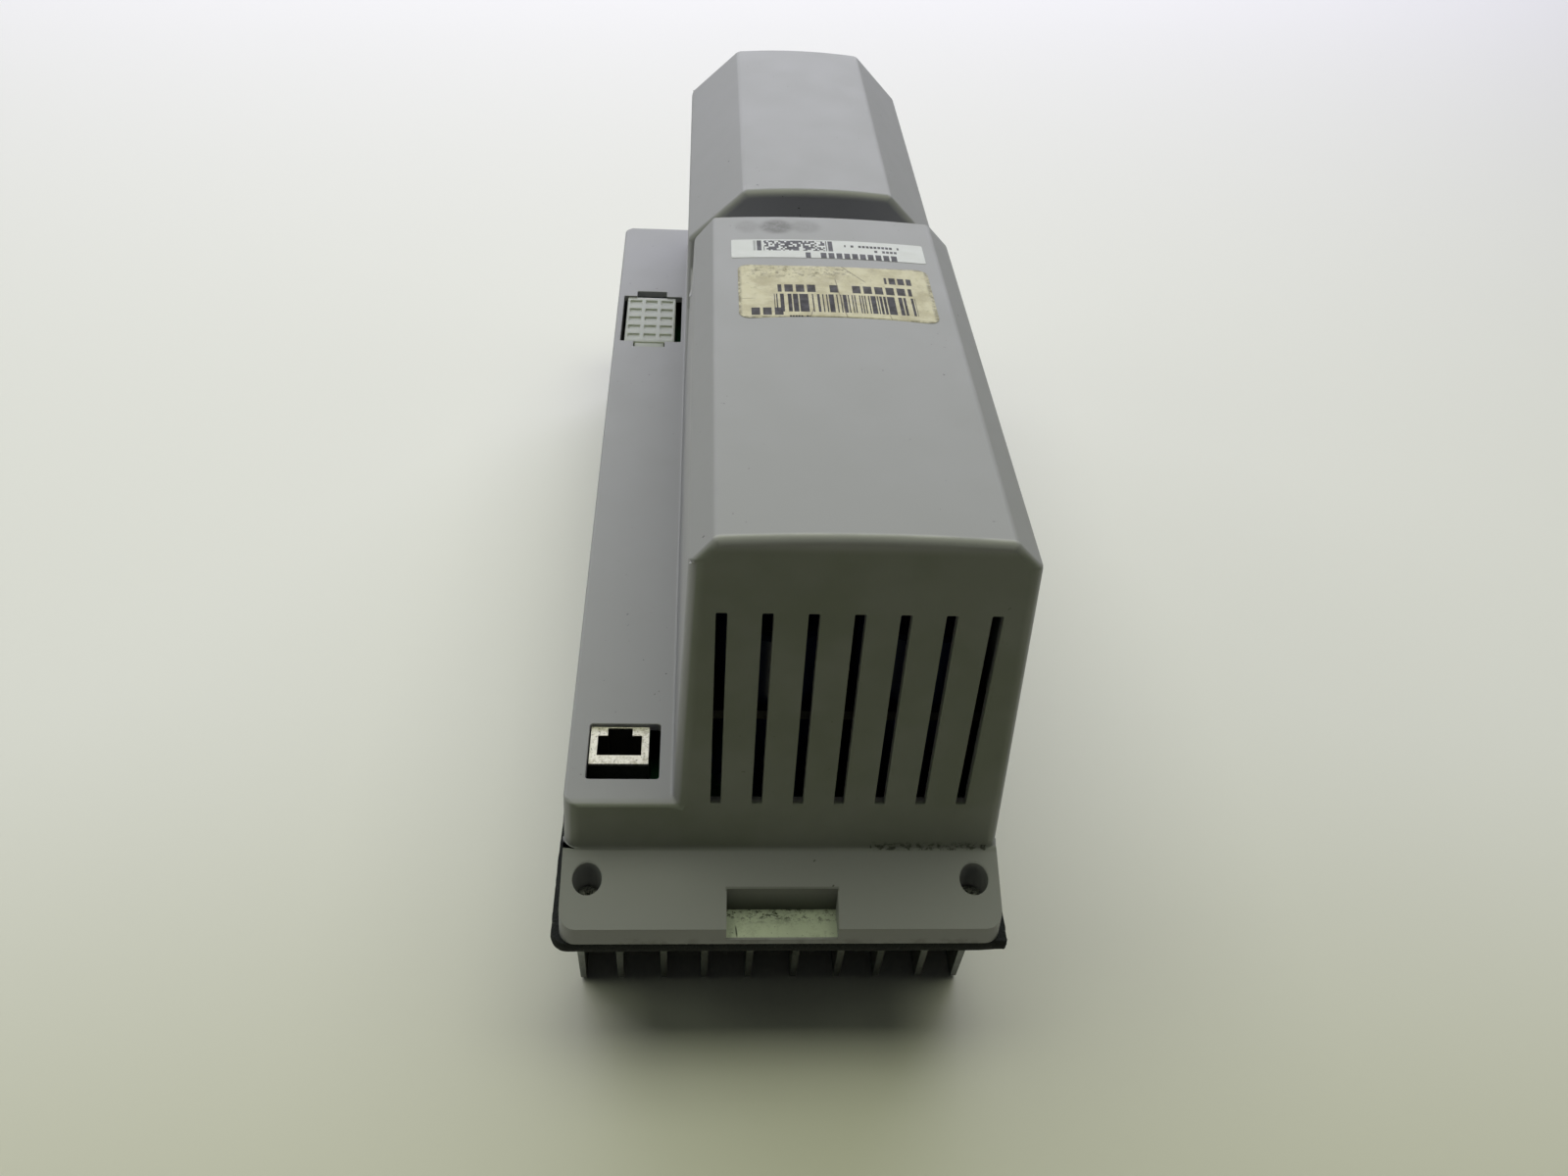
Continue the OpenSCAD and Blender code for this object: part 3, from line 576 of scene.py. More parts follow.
def rounded_outline(u, v, radius):
    """Points (with outward normals) round a rectangle u by v with rounded corners."""
    points = []
    steps = 4
    for cu, cv, start in ((u[1], v[1], 0), (u[0], v[1], 90), (u[0], v[0], 180), (u[1], v[0], 270)):
        centre = (cu - math.copysign(radius, cu - sum(u) / 2), cv - math.copysign(radius, cv - sum(v) / 2))
        for k in range(steps + 1):
            a = math.radians(start + 90 * k / steps)
            nu, nv = math.cos(a), math.sin(a)
            points.append((centre[0] + radius * nu, centre[1] + radius * nv, nu, nv))
    return points


def circle_outline(u, v, radius):
    steps = 48
    turns = [2 * math.pi * k / steps for k in range(steps)]
    return [(u + radius * math.cos(a), v + radius * math.sin(a), math.cos(a), math.sin(a)) for a in turns]


def lipped_cutter(outline, surface, place, depth, lip):
    """A cutter for a hole whose mouth is rounded by lip. surface(u, v) is how high the outer face is,
    place(u, v, height) turns the three into a point, and depth is how far the hole goes in."""
    levels = [(-depth, 0.0)]
    steps, over = 4, 3.0
    for k in range(steps + 1):
        a = math.radians(90 * k / steps)
        levels.append((-lip * (1 - math.sin(a)), lip * (1 - math.cos(a))))
    levels.append((over, lip))
    return lofted([
        [place(u + nu * grow, v + nv * grow, surface(u, v) + height) for u, v, nu, nv in outline]
        for height, grow in levels
    ])


# ---------- cover ----------

WALL = 2.5
DRAFT, END_DRAFT = 0.035, 0.028
SIDE_X, END_Y = COVER_HIGH.x, COVER_HIGH.y
FOOT_RUN, FOOT_LOW, FOOT_HIGH = 19.5, 6.5, 16.0
WALL_Y = END_Y - FOOT_RUN
WALL_Z = RIM_Z + FOOT_HIGH
PLATE_Z = RIM_Z + 2
CROWN = 1.2
ROOF_Z = COVER_HIGH.z - CROWN
LEFT_X = -29.7
NEAR_BACK_Y, FAR_FRONT_Y, FAR_BACK_Y = -3.0, 16.5, 157.0
GROOVE_Z = ROOF_Z - 28
SCREW_X, SCREW_Y = 52.2, 180.45
WELL_R, BOSS_R = 3.9, 6.0
NOTCH_X, NOTCH_DEPTH = 15.0, 9.6
BEVEL_UNIT = 4.0
END_CORNER_R, HUMP_CORNER_R, RIGHT_CORNER_R = 4.6, 4.4, 3.6
NEAR_LEAN, NEAR_CHAMFER = 0.042, (6.0, 7.4)
FAR_LEAN, FAR_CHAMFER = 0.014, (18.5, 17.5)
FOOT_SLOPE = (FOOT_HIGH - FOOT_LOW) / FOOT_RUN
SLOTS, SLOT_X, SLOT_PITCH, SLOT_WIDTH, SLOT_Z = 7, -19.8, 10.85, 2.7, (17.6, 82.5)
HEADER_HOLE_X, HEADER_HOLE_Y, TAB_HOLE = (-55.9, -31.7), (69.2, 106.7), (6.2, 4.3)
JACK_HOLE_X, JACK_HOLE_Y = (-53.1, -33.5), (-163.2, -143.0)
CORNERS = [(-1, -1), (-1, 1), (1, -1), (1, 1)]


def side_planes(left_x=None, lean=DRAFT):
    """Both long sides. The left one may be a hump's own wall."""
    left = ((-SIDE_X, 0, RIM_Z), (-1, 0, DRAFT))
    if left_x is not None:
        left = ((left_x, 0, SHELF_Z), (-1, 0, lean))
    return [((SIDE_X, 0, RIM_Z), (1, 0, DRAFT)), left]


def hump_planes(lean, chamfer):
    """Sides, chamfers and crowned roof of a hump. chamfer is the left one's width and the height of both."""
    width, height = chamfer
    eave = ROOF_Z - height
    left = LEFT_X + lean * (eave - SHELF_Z)
    right = SIDE_X - DRAFT * (eave - RIM_Z)
    roof_left, roof_right = left + width, right - height
    planes = side_planes(LEFT_X, lean)
    planes += [((left, 0, eave), (-height, 0, width)), ((right, 0, eave), (1, 0, 1))]
    steps = 12
    for k in range(steps + 1):
        t = k / steps
        x = roof_left + t * (roof_right - roof_left)
        slope = -4 * CROWN * (2 * t - 1) / (roof_right - roof_left)
        planes.append(((x, 0, ROOF_Z + CROWN * (1 - (2 * t - 1) ** 2)), (-slope, 0, 1)))
    return planes


def cover_solids(inset):
    """The convex solids that make up the cover's shape without its holes, by name."""
    low = WALL_Z - 8
    level = lambda z, up: ((0, 0, z), (0, 0, up))
    end = lambda sign: ((0, sign * WALL_Y, WALL_Z), (0, sign, END_DRAFT))
    foot = side_planes() + [level(WALL_Z, 1), ((0, -END_Y, 0), (0, -1, 0)), ((0, END_Y, 0), (0, 1, 0))]
    foot += [((0, sign * WALL_Y, WALL_Z), (0, sign * FOOT_SLOPE, 1)) for sign in (-1, 1)]
    foot.append(level(RIM_Z - 3 * inset, -1))
    shelf_left = side_planes()[1]
    shelf = [shelf_left, ((LEFT_X + 14, 0, 0), (1, 0, 0)), level(SHELF_Z, 1), end(-1), end(1)]
    ledge = side_planes() + [level(SHELF_Z, 1), end(1), ((0, FAR_BACK_Y - 12, 0), (0, -1, 0))]
    near = hump_planes(NEAR_LEAN, NEAR_CHAMFER) + [end(-1), ((0, NEAR_BACK_Y, 0), (0, 1, 0))]
    far = hump_planes(FAR_LEAN, FAR_CHAMFER) + [((0, FAR_FRONT_Y, 0), (0, -1, 0))]
    far.append(((0, FAR_BACK_Y, ROOF_Z), (0, 1, END_DRAFT)))
    bridge = side_planes(LEFT_X, NEAR_LEAN) + [level(GROOVE_Z, 1)]
    bridge += [((0, NEAR_BACK_Y - 3 * WALL, 0), (0, -1, 0)), ((0, FAR_FRONT_Y + 3 * WALL, 0), (0, 1, 0))]
    upper = {"shelf": shelf, "ledge": ledge, "near": near, "far": far, "bridge": bridge}
    solids = {"foot": carved(foot, inset)}
    for name, planes in upper.items():
        solids[name] = carved(planes + [level(low - inset, -1)], inset)
    return solids


def tidied(bm, merge=0.004):
    """Without the slivers that booleans leave: close points merged and flat faces joined."""
    bmesh.ops.remove_doubles(bm, verts=bm.verts, dist=merge)
    bmesh.ops.dissolve_limit(bm, angle_limit=math.radians(0.15), verts=bm.verts, edges=bm.edges)
    bmesh.ops.recalc_face_normals(bm, faces=bm.faces)
    return bm


def rounding(name, edge, angle):
    """How far the rounding of a convex edge reaches from the edge."""
    middle = (edge.verts[0].co + edge.verts[1].co) / 2
    way = (edge.verts[0].co - edge.verts[1].co).normalized()
    upright, along = abs(way.z) > 0.9, abs(way.y) > 0.9
    buried = min(v.co.z for v in edge.verts) < WALL_Z - 7 and not upright
    if buried or name == "bridge":
        return 0
    if name == "foot":
        return foot_rounding(middle, way, upright)
    if name in ("shelf", "ledge"):
        outer = abs(middle.y) > WALL_Y - 3 or middle.x < -SIDE_X + 6 or middle.x > SIDE_X - 6
        if not outer:
            return 0
        return END_CORNER_R if upright else 1.0
    if along:
        return 2.2 if angle > math.radians(60) else 1.0
    if NEAR_BACK_Y - 1 < middle.y < FAR_FRONT_Y + 1:
        return 1.0 if name == "near" else 2.4
    if upright:
        return HUMP_CORNER_R if middle.x < 0 else RIGHT_CORNER_R
    return 2.1


def foot_rounding(middle, way, upright):
    """The same for the sloped feet, whose edges at the walls stay sharp."""
    if middle.z > WALL_Z - 0.5:
        return 0
    if upright:
        return END_CORNER_R
    return 1.6 if abs(way.y) > 0.5 else 1.0


def softened(bm, rule, segments):
    """Rounds the edges of a solid; rule gives each edge's reach from its signed angle."""
    bm.normal_update()
    layers = bm.edges.layers.float
    weights = layers.get("bevel_weight_edge") or layers.new("bevel_weight_edge")
    for edge in bm.edges:
        angle = edge.calc_face_angle_signed(0) if len(edge.link_faces) == 2 else 0
        edge[weights] = rule(edge, angle) / BEVEL_UNIT if abs(angle) > math.radians(4) else 0
    thing = holder(bm)
    bevel = thing.modifiers.new("rounding", "BEVEL")
    bevel.limit_method = "WEIGHT"
    bevel.width = BEVEL_UNIT * MM
    bevel.segments = segments
    bevel.use_clamp_overlap = False
    bm = baked(thing)
    layers = bm.edges.layers.float
    used = layers.get("bevel_weight_edge")
    if used:
        layers.remove(used)
    return bm


def rounded_mass():
    """The outer shape with every edge rounded as it is moulded."""
    solids = []
    for name, bm in cover_solids(0).items():
        tidied(bm)
        solids.append(softened(bm, lambda edge, angle: rounding(name, edge, angle) if angle > 0 else 0, 6))
    bm = tidied(combine("UNION", *solids))
    return softened(bm, hollow_rounding, 3)


def hollow_rounding(edge, angle):
    """Reach of the fillets where the walls stand on the foot, the shelf and the groove's floor."""
    if angle > -math.radians(40):
        return 0
    low = max(v.co.z for v in edge.verts) < WALL_Z + 1
    return 0.4 if low else 0.9


def foot_surface(u, v):
    return WALL_Z - FOOT_SLOPE * (abs(v) - WALL_Y)


def cover_hollow():
    """All the air under the cover: the room inside, less the bosses, and the rebate for the plate."""
    room = tidied(combine("UNION", *cover_solids(WALL).values()))
    boss_z = (40, 70)
    kept = [post(sx * SCREW_X, sy * SCREW_Y, boss_z, BOSS_R) for sx, sy in CORNERS]
    kept += [post(sx * 34, sy * 184, boss_z, 4) for sx, sy in CORNERS]
    for sign in (-1, 1):
        y = sorted((sign * (END_Y + 1), sign * (END_Y - NOTCH_DEPTH - 2)))
        kept.append(block((-NOTCH_X - 2, NOTCH_X + 2), y, boss_z))
    room = combine("DIFFERENCE", room, *kept)
    skirt = 1.4
    rebate_x, rebate_y = SIDE_X - skirt, END_Y - skirt
    rebate = block((-rebate_x, rebate_x), (-rebate_y, rebate_y), (RIM_Z - 5, PLATE_Z + 0.05))
    tongue_y = END_Y - 0.6
    tongue = block((-NOTCH_X, NOTCH_X), (-tongue_y, tongue_y), (RIM_Z - 6, PLATE_Z + 0.04))
    return combine("UNION", room, rebate, tongue)


def from_above(u, v, height):
    return u, v, height


def shelf_surface(u, v):
    return SHELF_Z


def slot_cutters():
    """The vent slots in the near wall."""
    wall_face = lambda u, v: WALL_Y - END_DRAFT * (v - WALL_Z)
    out_of_wall = lambda u, v, height: (u, -height, v)
    slots = []
    for i in range(SLOTS):
        x = SLOT_X + i * SLOT_PITCH
        outline = rounded_outline((x, x + SLOT_WIDTH), [WALL_Z + z for z in SLOT_Z], 0.35)
        slots.append(lipped_cutter(outline, wall_face, out_of_wall, 6, 0.25))
    return slots


def header_cutter():
    """The header's opening, with a narrower part at each end for the tabs."""
    middle = (HEADER_LOW + HEADER_HIGH).x / 2
    reach_x, reach_y = TAB_HOLE
    tab_y = (HEADER_HOLE_Y[0] - reach_y, HEADER_HOLE_Y[1] + reach_y)
    outlines = (
        rounded_outline(HEADER_HOLE_X, HEADER_HOLE_Y, 0.5),
        rounded_outline((middle - reach_x, middle + reach_x), tab_y, 0.6),
    )
    return combine("UNION", *[lipped_cutter(o, shelf_surface, from_above, 8, 0.25) for o in outlines])


def cover_cutters():
    """Slots, wells, notches and socket openings; all but the notches with a softly rounded mouth."""
    cutters = slot_cutters()
    for sx, sy in CORNERS:
        well = circle_outline(sx * SCREW_X, sy * SCREW_Y, WELL_R)
        cutters.append(lipped_cutter(well, foot_surface, from_above, 30, 0.3))
    for sign in (-1, 1):
        y = sorted((sign * (END_Y - NOTCH_DEPTH), sign * (END_Y + 4)))
        cutters.append(block((-NOTCH_X, NOTCH_X), y, (PLATE_Z, WALL_Z + 20)))
    jack = rounded_outline(JACK_HOLE_X, JACK_HOLE_Y, 0.9)
    low, high = box_mm("power_header")
    power = rounded_outline((low.x - 0.7, high.x + 0.7), (low.y - 0.7, high.y + 0.7), 0.6)
    cutters += [
        header_cutter(),
        lipped_cutter(jack, shelf_surface, from_above, 8, 0.3),
        lipped_cutter(power, shelf_surface, from_above, 8, 0.25),
    ]
    return joined(*cutters)


def flatten_shading(mesh):
    """Normals that follow the largest face at each corner, so that walls shade flat up to their fillets."""
    large = 100 * MM ** 2
    faces_at = [[] for v in mesh.vertices]
    for face in mesh.polygons:
        for v in face.vertices:
            faces_at[v].append(face.index)
        for loop in face.loop_indices:
            if face.area > large:
                mesh.edges[mesh.loops[loop].edge_index].use_edge_sharp = True
    facts = [(face.normal.copy(), face.area) for face in mesh.polygons]
    normals = [None] * len(mesh.loops)
    same = math.cos(math.radians(32))
    for face in mesh.polygons:
        own = face.normal
        for loop in face.loop_indices:
            around = [facts[k] for k in faces_at[mesh.loops[loop].vertex_index]]
            alike = (normal * area ** 2 for normal, area in around if normal.dot(own) > same)
            blended = sum(alike, Vector())
            normals[loop] = blended.normalized() if blended.length else own.copy()
    mesh.normals_split_custom_set(normals)


def make_cover():
    bm = tidied(combine("DIFFERENCE", rounded_mass(), cover_hollow(), cover_cutters()), 0.002)
    piece = add_piece("cover", bm, cover_plastic(), replaces=COVER_NODES, smooth=28)
    flatten_shading(piece.data)
    return piece


# ---------- labels ----------

WHOLE_SHEET = 400


def label_ink(p, mask, strength):
    """Prints dark, slightly worn ink where mask is 1."""
    wear_and_highlight = p.span(p.noise(0.9, 4, 0.7, seed=31), 0.16, 0.30)
    p.paint(p.times(p.times(mask, wear_and_highlight), strength), (0.012, 0.012, 0.015))


def block_row(p, x, y, pitch, seed, strength):
    """One row of plain blocks, with narrow gaps between them and a few left out."""
    inside = p.math("LESS_THAN", p.math("FRACT", p.math("DIVIDE", p.axis("X"), pitch * MM)), 0.74)
    kept = p.times(p.patch(x, y), p.blocks((pitch, WHOLE_SHEET), 0.86, seed))
    label_ink(p, p.times(kept, inside), strength)


def white_film():
    """Glossy white label: a square-dot code between start and stop bars, and rows of plain blocks."""
    p = Paint("label_white", (0.70, 0.71, 0.77), 0.42, 0.0, 0.16)
    p.paint(p.span(p.noise(6, 4, seed=1), 0.45, 0.8, 0, 0.15), (0.50, 0.51, 0.53))
    code_y = (-27.6, -20.8)
    dots = p.times(p.patch((-5.2, 13.6), code_y), p.blocks((0.62, 1.0), 0.60, 3))
    label_ink(p, dots, 0.95)
    for bar_x in ((-7.3, -5.9), (14.6, 16.0), (13.9, 14.2)):
        label_ink(p, p.patch(bar_x, code_y), 0.95)
    faded = p.times(p.patch((-9.4, -7.6), code_y), p.blocks((0.6, WHOLE_SHEET), 0.7, 9))
    label_ink(p, faded, 0.45)
    for x, y, pitch, seed in (
        ((7.4, 37.2), (-32.2, -28.7), 2.4, 4),
        ((19.6, 36.6), (-24.4, -22.9), 1.2, 5),
        ((28.6, 36.9), (-27.2, -25.7), 1.2, 6),
    ):
        block_row(p, x, y, pitch, seed, 0.95)
    p.roughness(p.span(p.noise(3, 4, 0.6), 0.3, 0.7, 0.32, 0.50))
    return p.mat


def aged_film():
    """Yellowed paper label: stains, cracks, rubbed edges, a bar code and rows of plain blocks."""
    p = Paint("label_aged", (0.70, 0.65, 0.51), 0.5, 0.0, 0.14)
    p.paint(p.span(p.noise(7, 5, 0.65, seed=1), 0.42, 0.68, 0, 0.65), (0.42, 0.37, 0.25))
    p.paint(p.span(p.noise(2.2, 5, 0.7, seed=2), 0.56, 0.72, 0, 0.45), (0.28, 0.25, 0.17))
    smears = p.span(p.noise(1.5, 5, 0.75, seed=6), 0.47, 0.63)
    p.paint(p.times(p.patch((-12, 20), (-45, -38), 2.5), smears), (0.29, 0.26, 0.18))
    frayed = p.span(p.noise(1.8, 4, 0.7, seed=7), 0.35, 0.6, 0.1, 0.8)
    for x, y in (
        ((-14, -12.6), (-70, -36)),
        ((42.6, 44), (-70, -36)),
        ((-14, 44), (-70, -68.4)),
        ((-14, 44), (-37.9, -36)),
    ):
        p.paint(p.times(p.patch(x, y, 0.5), frayed), (0.20, 0.18, 0.13))
    bars = p.times(p.patch((-3.2, 37.9), (-66.0, -55.4)), p.blocks((0.37, WHOLE_SHEET), 0.52, 13))
    label_ink(p, bars, 0.98)
    for x, y, pitch, seed in (
        ((-2.0, 37.4), (-54.2, -49.7), 3.3, 12),
        ((29.8, 37.9), (-47.5, -43.6), 2.6, 21),
        ((-10.0, -0.2), (-67.9, -63.6), 3.3, 15),
        ((0.6, 6.6), (-68.9, -68.1), 0.8, 17),
    ):
        block_row(p, x, y, pitch, seed, 0.96)
    for start, end, width in (
        ((17.4, -37.4), (24.0, -47.0), 0.32),
        ((15.2, -46.0), (15.8, -55.0), 0.28),
        ((15.8, -55.0), (17.2, -69.0), 0.32),
        ((8.0, -63.5), (6.6, -69.2), 0.25),
        ((29.5, -66.5), (29.9, -69.3), 0.22),
        ((-12.8, -58.2), (-9.0, -58.0), 0.2),
    ):
        p.paint(p.times(p.stroke(start, end, width), 0.8), (0.16, 0.13, 0.09))
    p.roughness(p.span(p.noise(2, 5, 0.6), 0.3, 0.7, 0.36, 0.6))
    p.bump(p.noise(1.2, 4, 0.6, seed=9), 0.05)
    return p.mat


def roof_height(x):
    """Height of the near roof across the drive."""
    width, height = NEAR_CHAMFER
    eave = ROOF_Z - height
    left = LEFT_X + NEAR_LEAN * (eave - SHELF_Z) + width
    right = SIDE_X - DRAFT * (eave - RIM_Z) - height
    t = (x - left) / (right - left)
    return ROOF_Z + CROWN * (1 - (2 * t - 1) ** 2)


def noise_at(x, y, size, height):
    return noise.noise(Vector((x / size, y / size, height)))


def sheet_corner(x, y, reach, corner):
    """Pulls a point of a rectangle's grid in, so that the corners come out round."""
    over = Vector((max(0, abs(x) - reach.x + corner), max(0, abs(y) - reach.y + corner)))
    if over.length > corner:
        over *= corner / over.length
        x = math.copysign(reach.x - corner + over.x, x)
        y = math.copysign(reach.y - corner + over.y, y)
    return x, y


def label_sheet(low, high, corner, thickness, wrinkle, seed):
    """A thin closed sheet on the near roof with rounded corners and small wrinkles."""
    bm = bmesh.new()
    cell = 0.8
    columns, rows = round((high.x - low.x) / cell), round((high.y - low.y) / cell)
    middle = (low + high) / 2
    reach = Vector(((high.x - low.x) / 2, (high.y - low.y) / 2))
    grid = []
    for i in range(columns + 1):
        for j in range(rows + 1):
            x = (2 * i / columns - 1) * reach.x
            y = (2 * j / rows - 1) * reach.y
            x, y = sheet_corner(x, y, reach, corner)
            x, y = x + middle.x, y + middle.y
            rise = noise_at(x, y, 9, seed) + 0.5 * noise_at(x, y, 3, seed + 5)
            z = roof_height(x) + 0.02 + thickness + wrinkle * (0.5 + 0.5 * rise)
            grid.append(bm.verts.new((x, y, z)))
    for i in range(columns):
        for j in range(rows):
            k = i * (rows + 1) + j
            bm.faces.new((grid[k], grid[k + rows + 1], grid[k + rows + 2], grid[k + 1]))
    under = bmesh.ops.extrude_face_region(bm, geom=bm.faces[:])
    moved = [v for v in under["geom"] if isinstance(v, bmesh.types.BMVert)]
    for v in moved:
        v.co.z = roof_height(v.co.x) + 0.015
    return bm


def make_labels():
    add_piece("white_label", label_sheet(CODE_LOW, CODE_HIGH, 0.5, 0.06, 0.015, 1), white_film(),
              replaces=["code_label"])
    add_piece("aged_label", label_sheet(NAME_LOW, NAME_HIGH, 3.2, 0.07, 0.05, 2), aged_film(),
              replaces=["name_label"])


# ---------- sockets ----------

def chamber_cutter(x, y, top):
    """One chamber of the header: half round towards the near end and square towards the far end."""
    radius, far = 2.3, 2.2
    angles = [math.radians(180 + 180 * k / 16) for k in range(17)]
    arc = [(x + radius * math.cos(a), y + radius * math.sin(a), math.cos(a), math.sin(a)) for a in angles]
    outline = arc + [(x + radius, y + far, 0.7, 0.7), (x - radius, y + far, -0.7, 0.7)]
    return lipped_cutter(outline, lambda u, v: top, from_above, 0.55, 0.4)


def make_header():
    """The nylon header: a block with two side tabs and a chamber for each of its 15 pins."""
    low, high = HEADER_LOW, HEADER_HIGH
    middle = (low + high) / 2
    half_w, half_l, tab_w, tab_l = 10.05, 18.45, 5.8, 3.9
    column_pitch, row_pitch = 6.5, 6.95
    x, y = (middle.x - half_w, middle.x + half_w), (middle.y - half_l, middle.y + half_l)
    tab_x = (middle.x - tab_w, middle.x + tab_w)
    body = block(x, y, (low.z, high.z))
    near_tab = block(tab_x, (y[0] - tab_l, middle.y), (high.z - 9, high.z - 0.4))
    far_tab = block(tab_x, (middle.y, y[1] + tab_l), (high.z - 9, high.z - 5.5))
    bm = combine("UNION", body, near_tab, far_tab)
    bm = softened(bm, lambda edge, angle: 0.35 if angle > 0 else 0, 3)
    chambers = [
        chamber_cutter(middle.x + column * column_pitch, middle.y + row * row_pitch, high.z)
        for column in (-1, 0, 1) for row in range(-2, 3)
    ]
    bm = combine("DIFFERENCE", bm, joined(*chambers))
    add_piece("signal_header_body", bm, natural_nylon(), replaces=["signal_header"])


# ---------- gasket ----------

def gasket_outline(reach):
    """Points about 1.6 mm apart round the gasket, with its corners rounded."""
    outline = []
    for sx, sy, start, radius in ((-1, -1, 180, 4.5), (1, -1, 270, 1.2), (1, 1, 0, 3.0), (-1, 1, 90, 3.0)):
        centre = Vector((sx * (reach.x - radius), sy * (reach.y - radius)))
        angles = [math.radians(start + 90 * k / 10) for k in range(11)]
        outline += [centre + radius * Vector((math.cos(a), math.sin(a))) for a in angles]
    points = []
    for a, b in zip(outline, outline[1:] + outline[:1]):
        steps = max(1, round((b - a).length / 1.6))
        points += [a.lerp(b, k / steps) for k in range(steps)]
    return points


def gasket_edge(point, t, low, high, reach):
    """One point of the hand-cut edge at share t of its height: wavy, ragged, and torn at one corner."""
    z = low.z + t * (high.z - low.z)
    wave = noise_at(*point, 16, 3) + 0.5 * noise_at(*point, 4, 7)
    rough = noise_at(*point, 1.5, z / 1.5)
    tear = max(0, 1 - (point - Vector((reach.x, -reach.y))).length / 9)
    inward = 0.05 + 0.30 * (0.5 + 0.5 * wave) + 0.10 * (1 + rough) + 0.35 * (2 * t - 1) ** 2
    inward += tear * 1.5 * abs(noise_at(*point, 1.7, 11 + t))
    sag = (1 - t) * 0.5 * (0.5 + 0.5 * noise_at(*point, 11, 15))
    scale = Vector((1 - inward / reach.x, 1 - inward / reach.y))
    return point.x * scale.x, point.y * scale.y, z + sag


def make_gasket():
    """Hand-cut foam: a wavy outline, one rounded near corner and one torn one, and a soft lower edge."""
    low, high = GASKET_LOW, GASKET_HIGH
    reach = Vector((high.x, high.y))
    points = gasket_outline(reach)
    loops = [[gasket_edge(point, level / 4, low, high, reach) for point in points] for level in range(5)]
    cut_z = (low.z - 1, high.z + 1)
    window_x, window_y = 57.9, WALL_Y + 2.5
    window = block((-window_x, window_x), (-window_y, window_y), cut_z)
    holes = [post(sx * SCREW_X, sy * SCREW_Y, cut_z, 4.5) for sx, sy in CORNERS]
    bm = combine("DIFFERENCE", lofted(loops), window, *holes)
    add_piece("foam_gasket", bm, foam_rubber(), replaces=["base_gasket"], smooth=50)


# ---------- mounting screws ----------

def turned(profile):
    """A closed solid of revolution about Z through (radius, z) points that start and end at the axis."""
    bm = bmesh.new()
    rings = []
    sides = 40
    for radius, z in profile[1:-1]:
        turns = [2 * math.pi * k / sides for k in range(sides)]
        rings.append([bm.verts.new((radius * math.cos(a), radius * math.sin(a), z)) for a in turns])
    for low, high in zip(rings, rings[1:]):
        for k in range(sides):
            n = (k + 1) % sides
            bm.faces.new((low[k], low[n], high[n], high[k]))
    for ring, (radius, z) in ((rings[0], profile[0]), (rings[-1], profile[-1])):
        tip = bm.verts.new((0, 0, z))
        for k in range(sides):
            bm.faces.new((ring[k], ring[(k + 1) % sides], tip))
    bmesh.ops.recalc_face_normals(bm, faces=bm.faces)
    return bm


def thread(z, core, crest, pitch):
    """A threaded rod between two heights, as one helical surface with pointed ends."""
    bm = bmesh.new()
    sides = 24
    steps = round((z[1] - z[0]) / pitch * sides)
    section = ((0.0, core), (0.12, core), (0.5, crest), (0.62, crest))
    rows = []
    for step in range(steps + 1):
        a = 2 * math.pi * step / sides
        fade = min(1, step / sides, (steps - step) / sides)
        rise = step / sides * pitch
        row = []
        for part, radius in section:
            r = core + (radius - core) * fade
            height = z[0] + rise + (part - 0.5) * pitch * 0.9
            row.append(bm.verts.new((r * math.cos(a), r * math.sin(a), height)))
        rows.append(row)
    for low, high in zip(rows, rows[1:]):
        for k in range(len(low) - 1):
            bm.faces.new((low[k], low[k + 1], high[k + 1], high[k]))
        bm.faces.new((low[-1], low[0], high[0], high[-1]))
    bm.faces.new(rows[0])
    bm.faces.new(rows[-1][::-1])
    return bm


def flat_loop(x, y, z):
    return [(-x, -y, z), (x, -y, z), (x, y, z), (-x, y, z)]


def recess_cutters(head):
    """The two tapered slots of a cross recess in a head whose top is at height head."""
    cutters = []
    for turn in (45, 135):
        cut = lofted([flat_loop(0.5, 0.25, head - 1.6), flat_loop(2.1, 0.42, head + 0.4)])
        matrix = Matrix.Rotation(math.radians(turn), 3, "Z")
        bmesh.ops.rotate(cut, cent=(0, 0, 0), matrix=matrix, verts=cut.verts)
        cutters.append(cut)
    return cutters


def make_screws(material):
    """Pan-head screws with a cross recess, a thin waist and a thread below the plate."""
    head_height = 2.57
    for i in range(1, 5):
        node = f"mounting_screw_{i}"
        low, high = box_mm(node)
        middle = (low + high) / 2
        head, seat, tip = high.z, high.z - head_height, low.z
        body = turned([
            (0, tip), (1.0, tip), (1.5, tip + 0.6), (1.5, seat), (3.35, seat), (3.5, seat + 0.2),
            (3.5, head - 1.0), (3.3, head - 0.55), (2.8, head - 0.2), (2.0, head - 0.04), (0, head),
        ])
        bm = combine("DIFFERENCE", body, *recess_cutters(head))
        bm = joined(bm, thread((tip + 0.8, tip + 8.6), 1.45, 1.95, 0.7))
        bmesh.ops.translate(bm, vec=(middle.x, middle.y, 0), verts=bm.verts)
        add_piece(f"captive_screw_{i}", bm, material, body=f"screw_{i}", replaces=[node])


# ---------- metal and small parts that keep their CAD shape ----------

def round_edges(node, width, segments):
    """Softens the edges of a CAD node with a modifier."""
    bevel = NODES[node].modifiers.new("rounding", "BEVEL")
    bevel.limit_method = "ANGLE"
    bevel.angle_limit = math.radians(30)
    bevel.width = width * MM
    bevel.segments = segments
    bevel.harden_normals = True
    for face in NODES[node].data.polygons:
        face.use_smooth = True


def paint_node(node, material):
    NODES[node].data.materials.clear()
    NODES[node].data.materials.append(material)


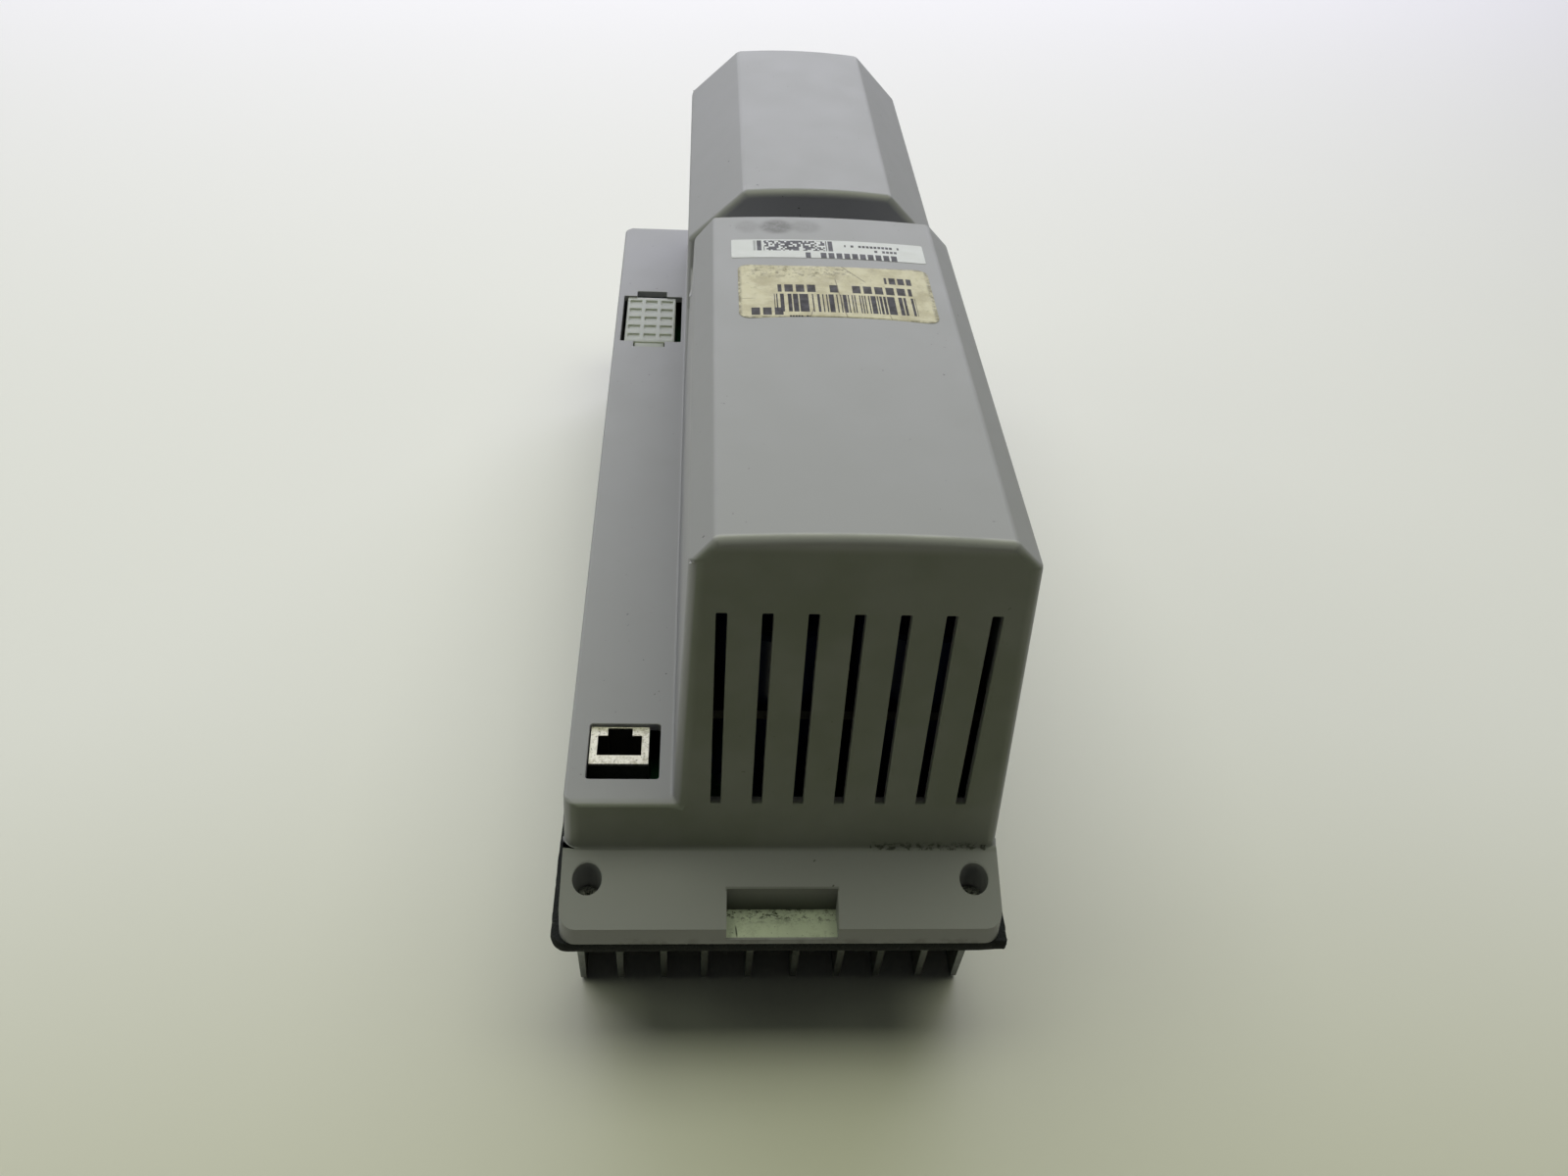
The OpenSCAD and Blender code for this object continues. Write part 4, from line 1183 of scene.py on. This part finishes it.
def paint_cad_nodes():
    """Gives every CAD node that still shows its own material."""
    zinc = bare_metal("zinc_steel", (0.47, 0.48, 0.45), 0.26)
    black = moulded_plastic("black_plastic", (0.018, 0.019, 0.02), 0.45)
    board = moulded_plastic("solder_mask", (0.012, 0.10, 0.045), 0.30)
    copper = bare_metal("bare_copper", (0.72, 0.36, 0.20), 0.3)
    gold = bare_metal("gold_plate", (0.85, 0.62, 0.26), 0.25)
    ceramic = moulded_plastic("fuse_ceramic", (0.55, 0.54, 0.50), 0.3)
    looks = {
        "heat_sink": sink_aluminium(), "main_board": board, "logic_board": board,
        "board_socket": black, "ribbon_cable": moulded_plastic("cable_grey", (0.30, 0.30, 0.32), 0.5),
        "board_standoffs": bare_metal("turned_brass", (0.78, 0.58, 0.26), 0.3, (1, 1, 8)),
        "board_screws": zinc, "cover_screws": zinc,
        "retaining_bushes": moulded_plastic("bush_nylon", (0.55, 0.57, 0.50), 0.4),
        "jack_shield": shield_tin(), "jack_insert": black,
        "jack_contacts": gold, "signal_pins": zinc,
        "power_header": black, "power_pins": zinc, "bus_bars": copper,
        "thermal_pads": moulded_plastic("silicone_pad", (0.55, 0.58, 0.60), 0.8), "module_screws": zinc,
        "capacitor_clamp": black, "transformer_core": moulded_plastic("ferrite", (0.04, 0.04, 0.042), 0.7),
        "transformer_winding": moulded_plastic("winding_tape", (0.62, 0.42, 0.06), 0.35),
        "choke_core": moulded_plastic("ferrite_green", (0.03, 0.06, 0.04), 0.5),
        "choke_winding": copper, "choke_saddle": black, "board_fuses": ceramic,
    }
    for i in range(1, 5):
        looks[f"screw_washer_{i}"] = zinc
        looks[f"power_module_{i}"] = black
        looks[f"capacitor_{i}"] = moulded_plastic("capacitor_sleeve", (0.02, 0.035, 0.12), 0.25)
    for i in range(1, 4):
        looks[f"current_sensor_{i}"] = black
    for i in range(1, 3):
        looks[f"relay_{i}"] = moulded_plastic("relay_case", (0.04, 0.12, 0.32), 0.3)
    for node, material in looks.items():
        paint_node(node, material)
    round_edges("heat_sink", 0.8, 3)
    round_edges("jack_shield", 0.18, 2)
    round_edges("power_header", 0.3, 2)
    make_screws(zinc)


# ---------- build ----------

make_camera()
make_world((0.95, 1.0, 0.95), 0.022)
bpy.context.scene.view_settings.view_transform = "Standard"
floor = make_floor()
make_lights()

paint_cad_nodes()
make_cover()
make_labels()
make_header()
make_gasket()
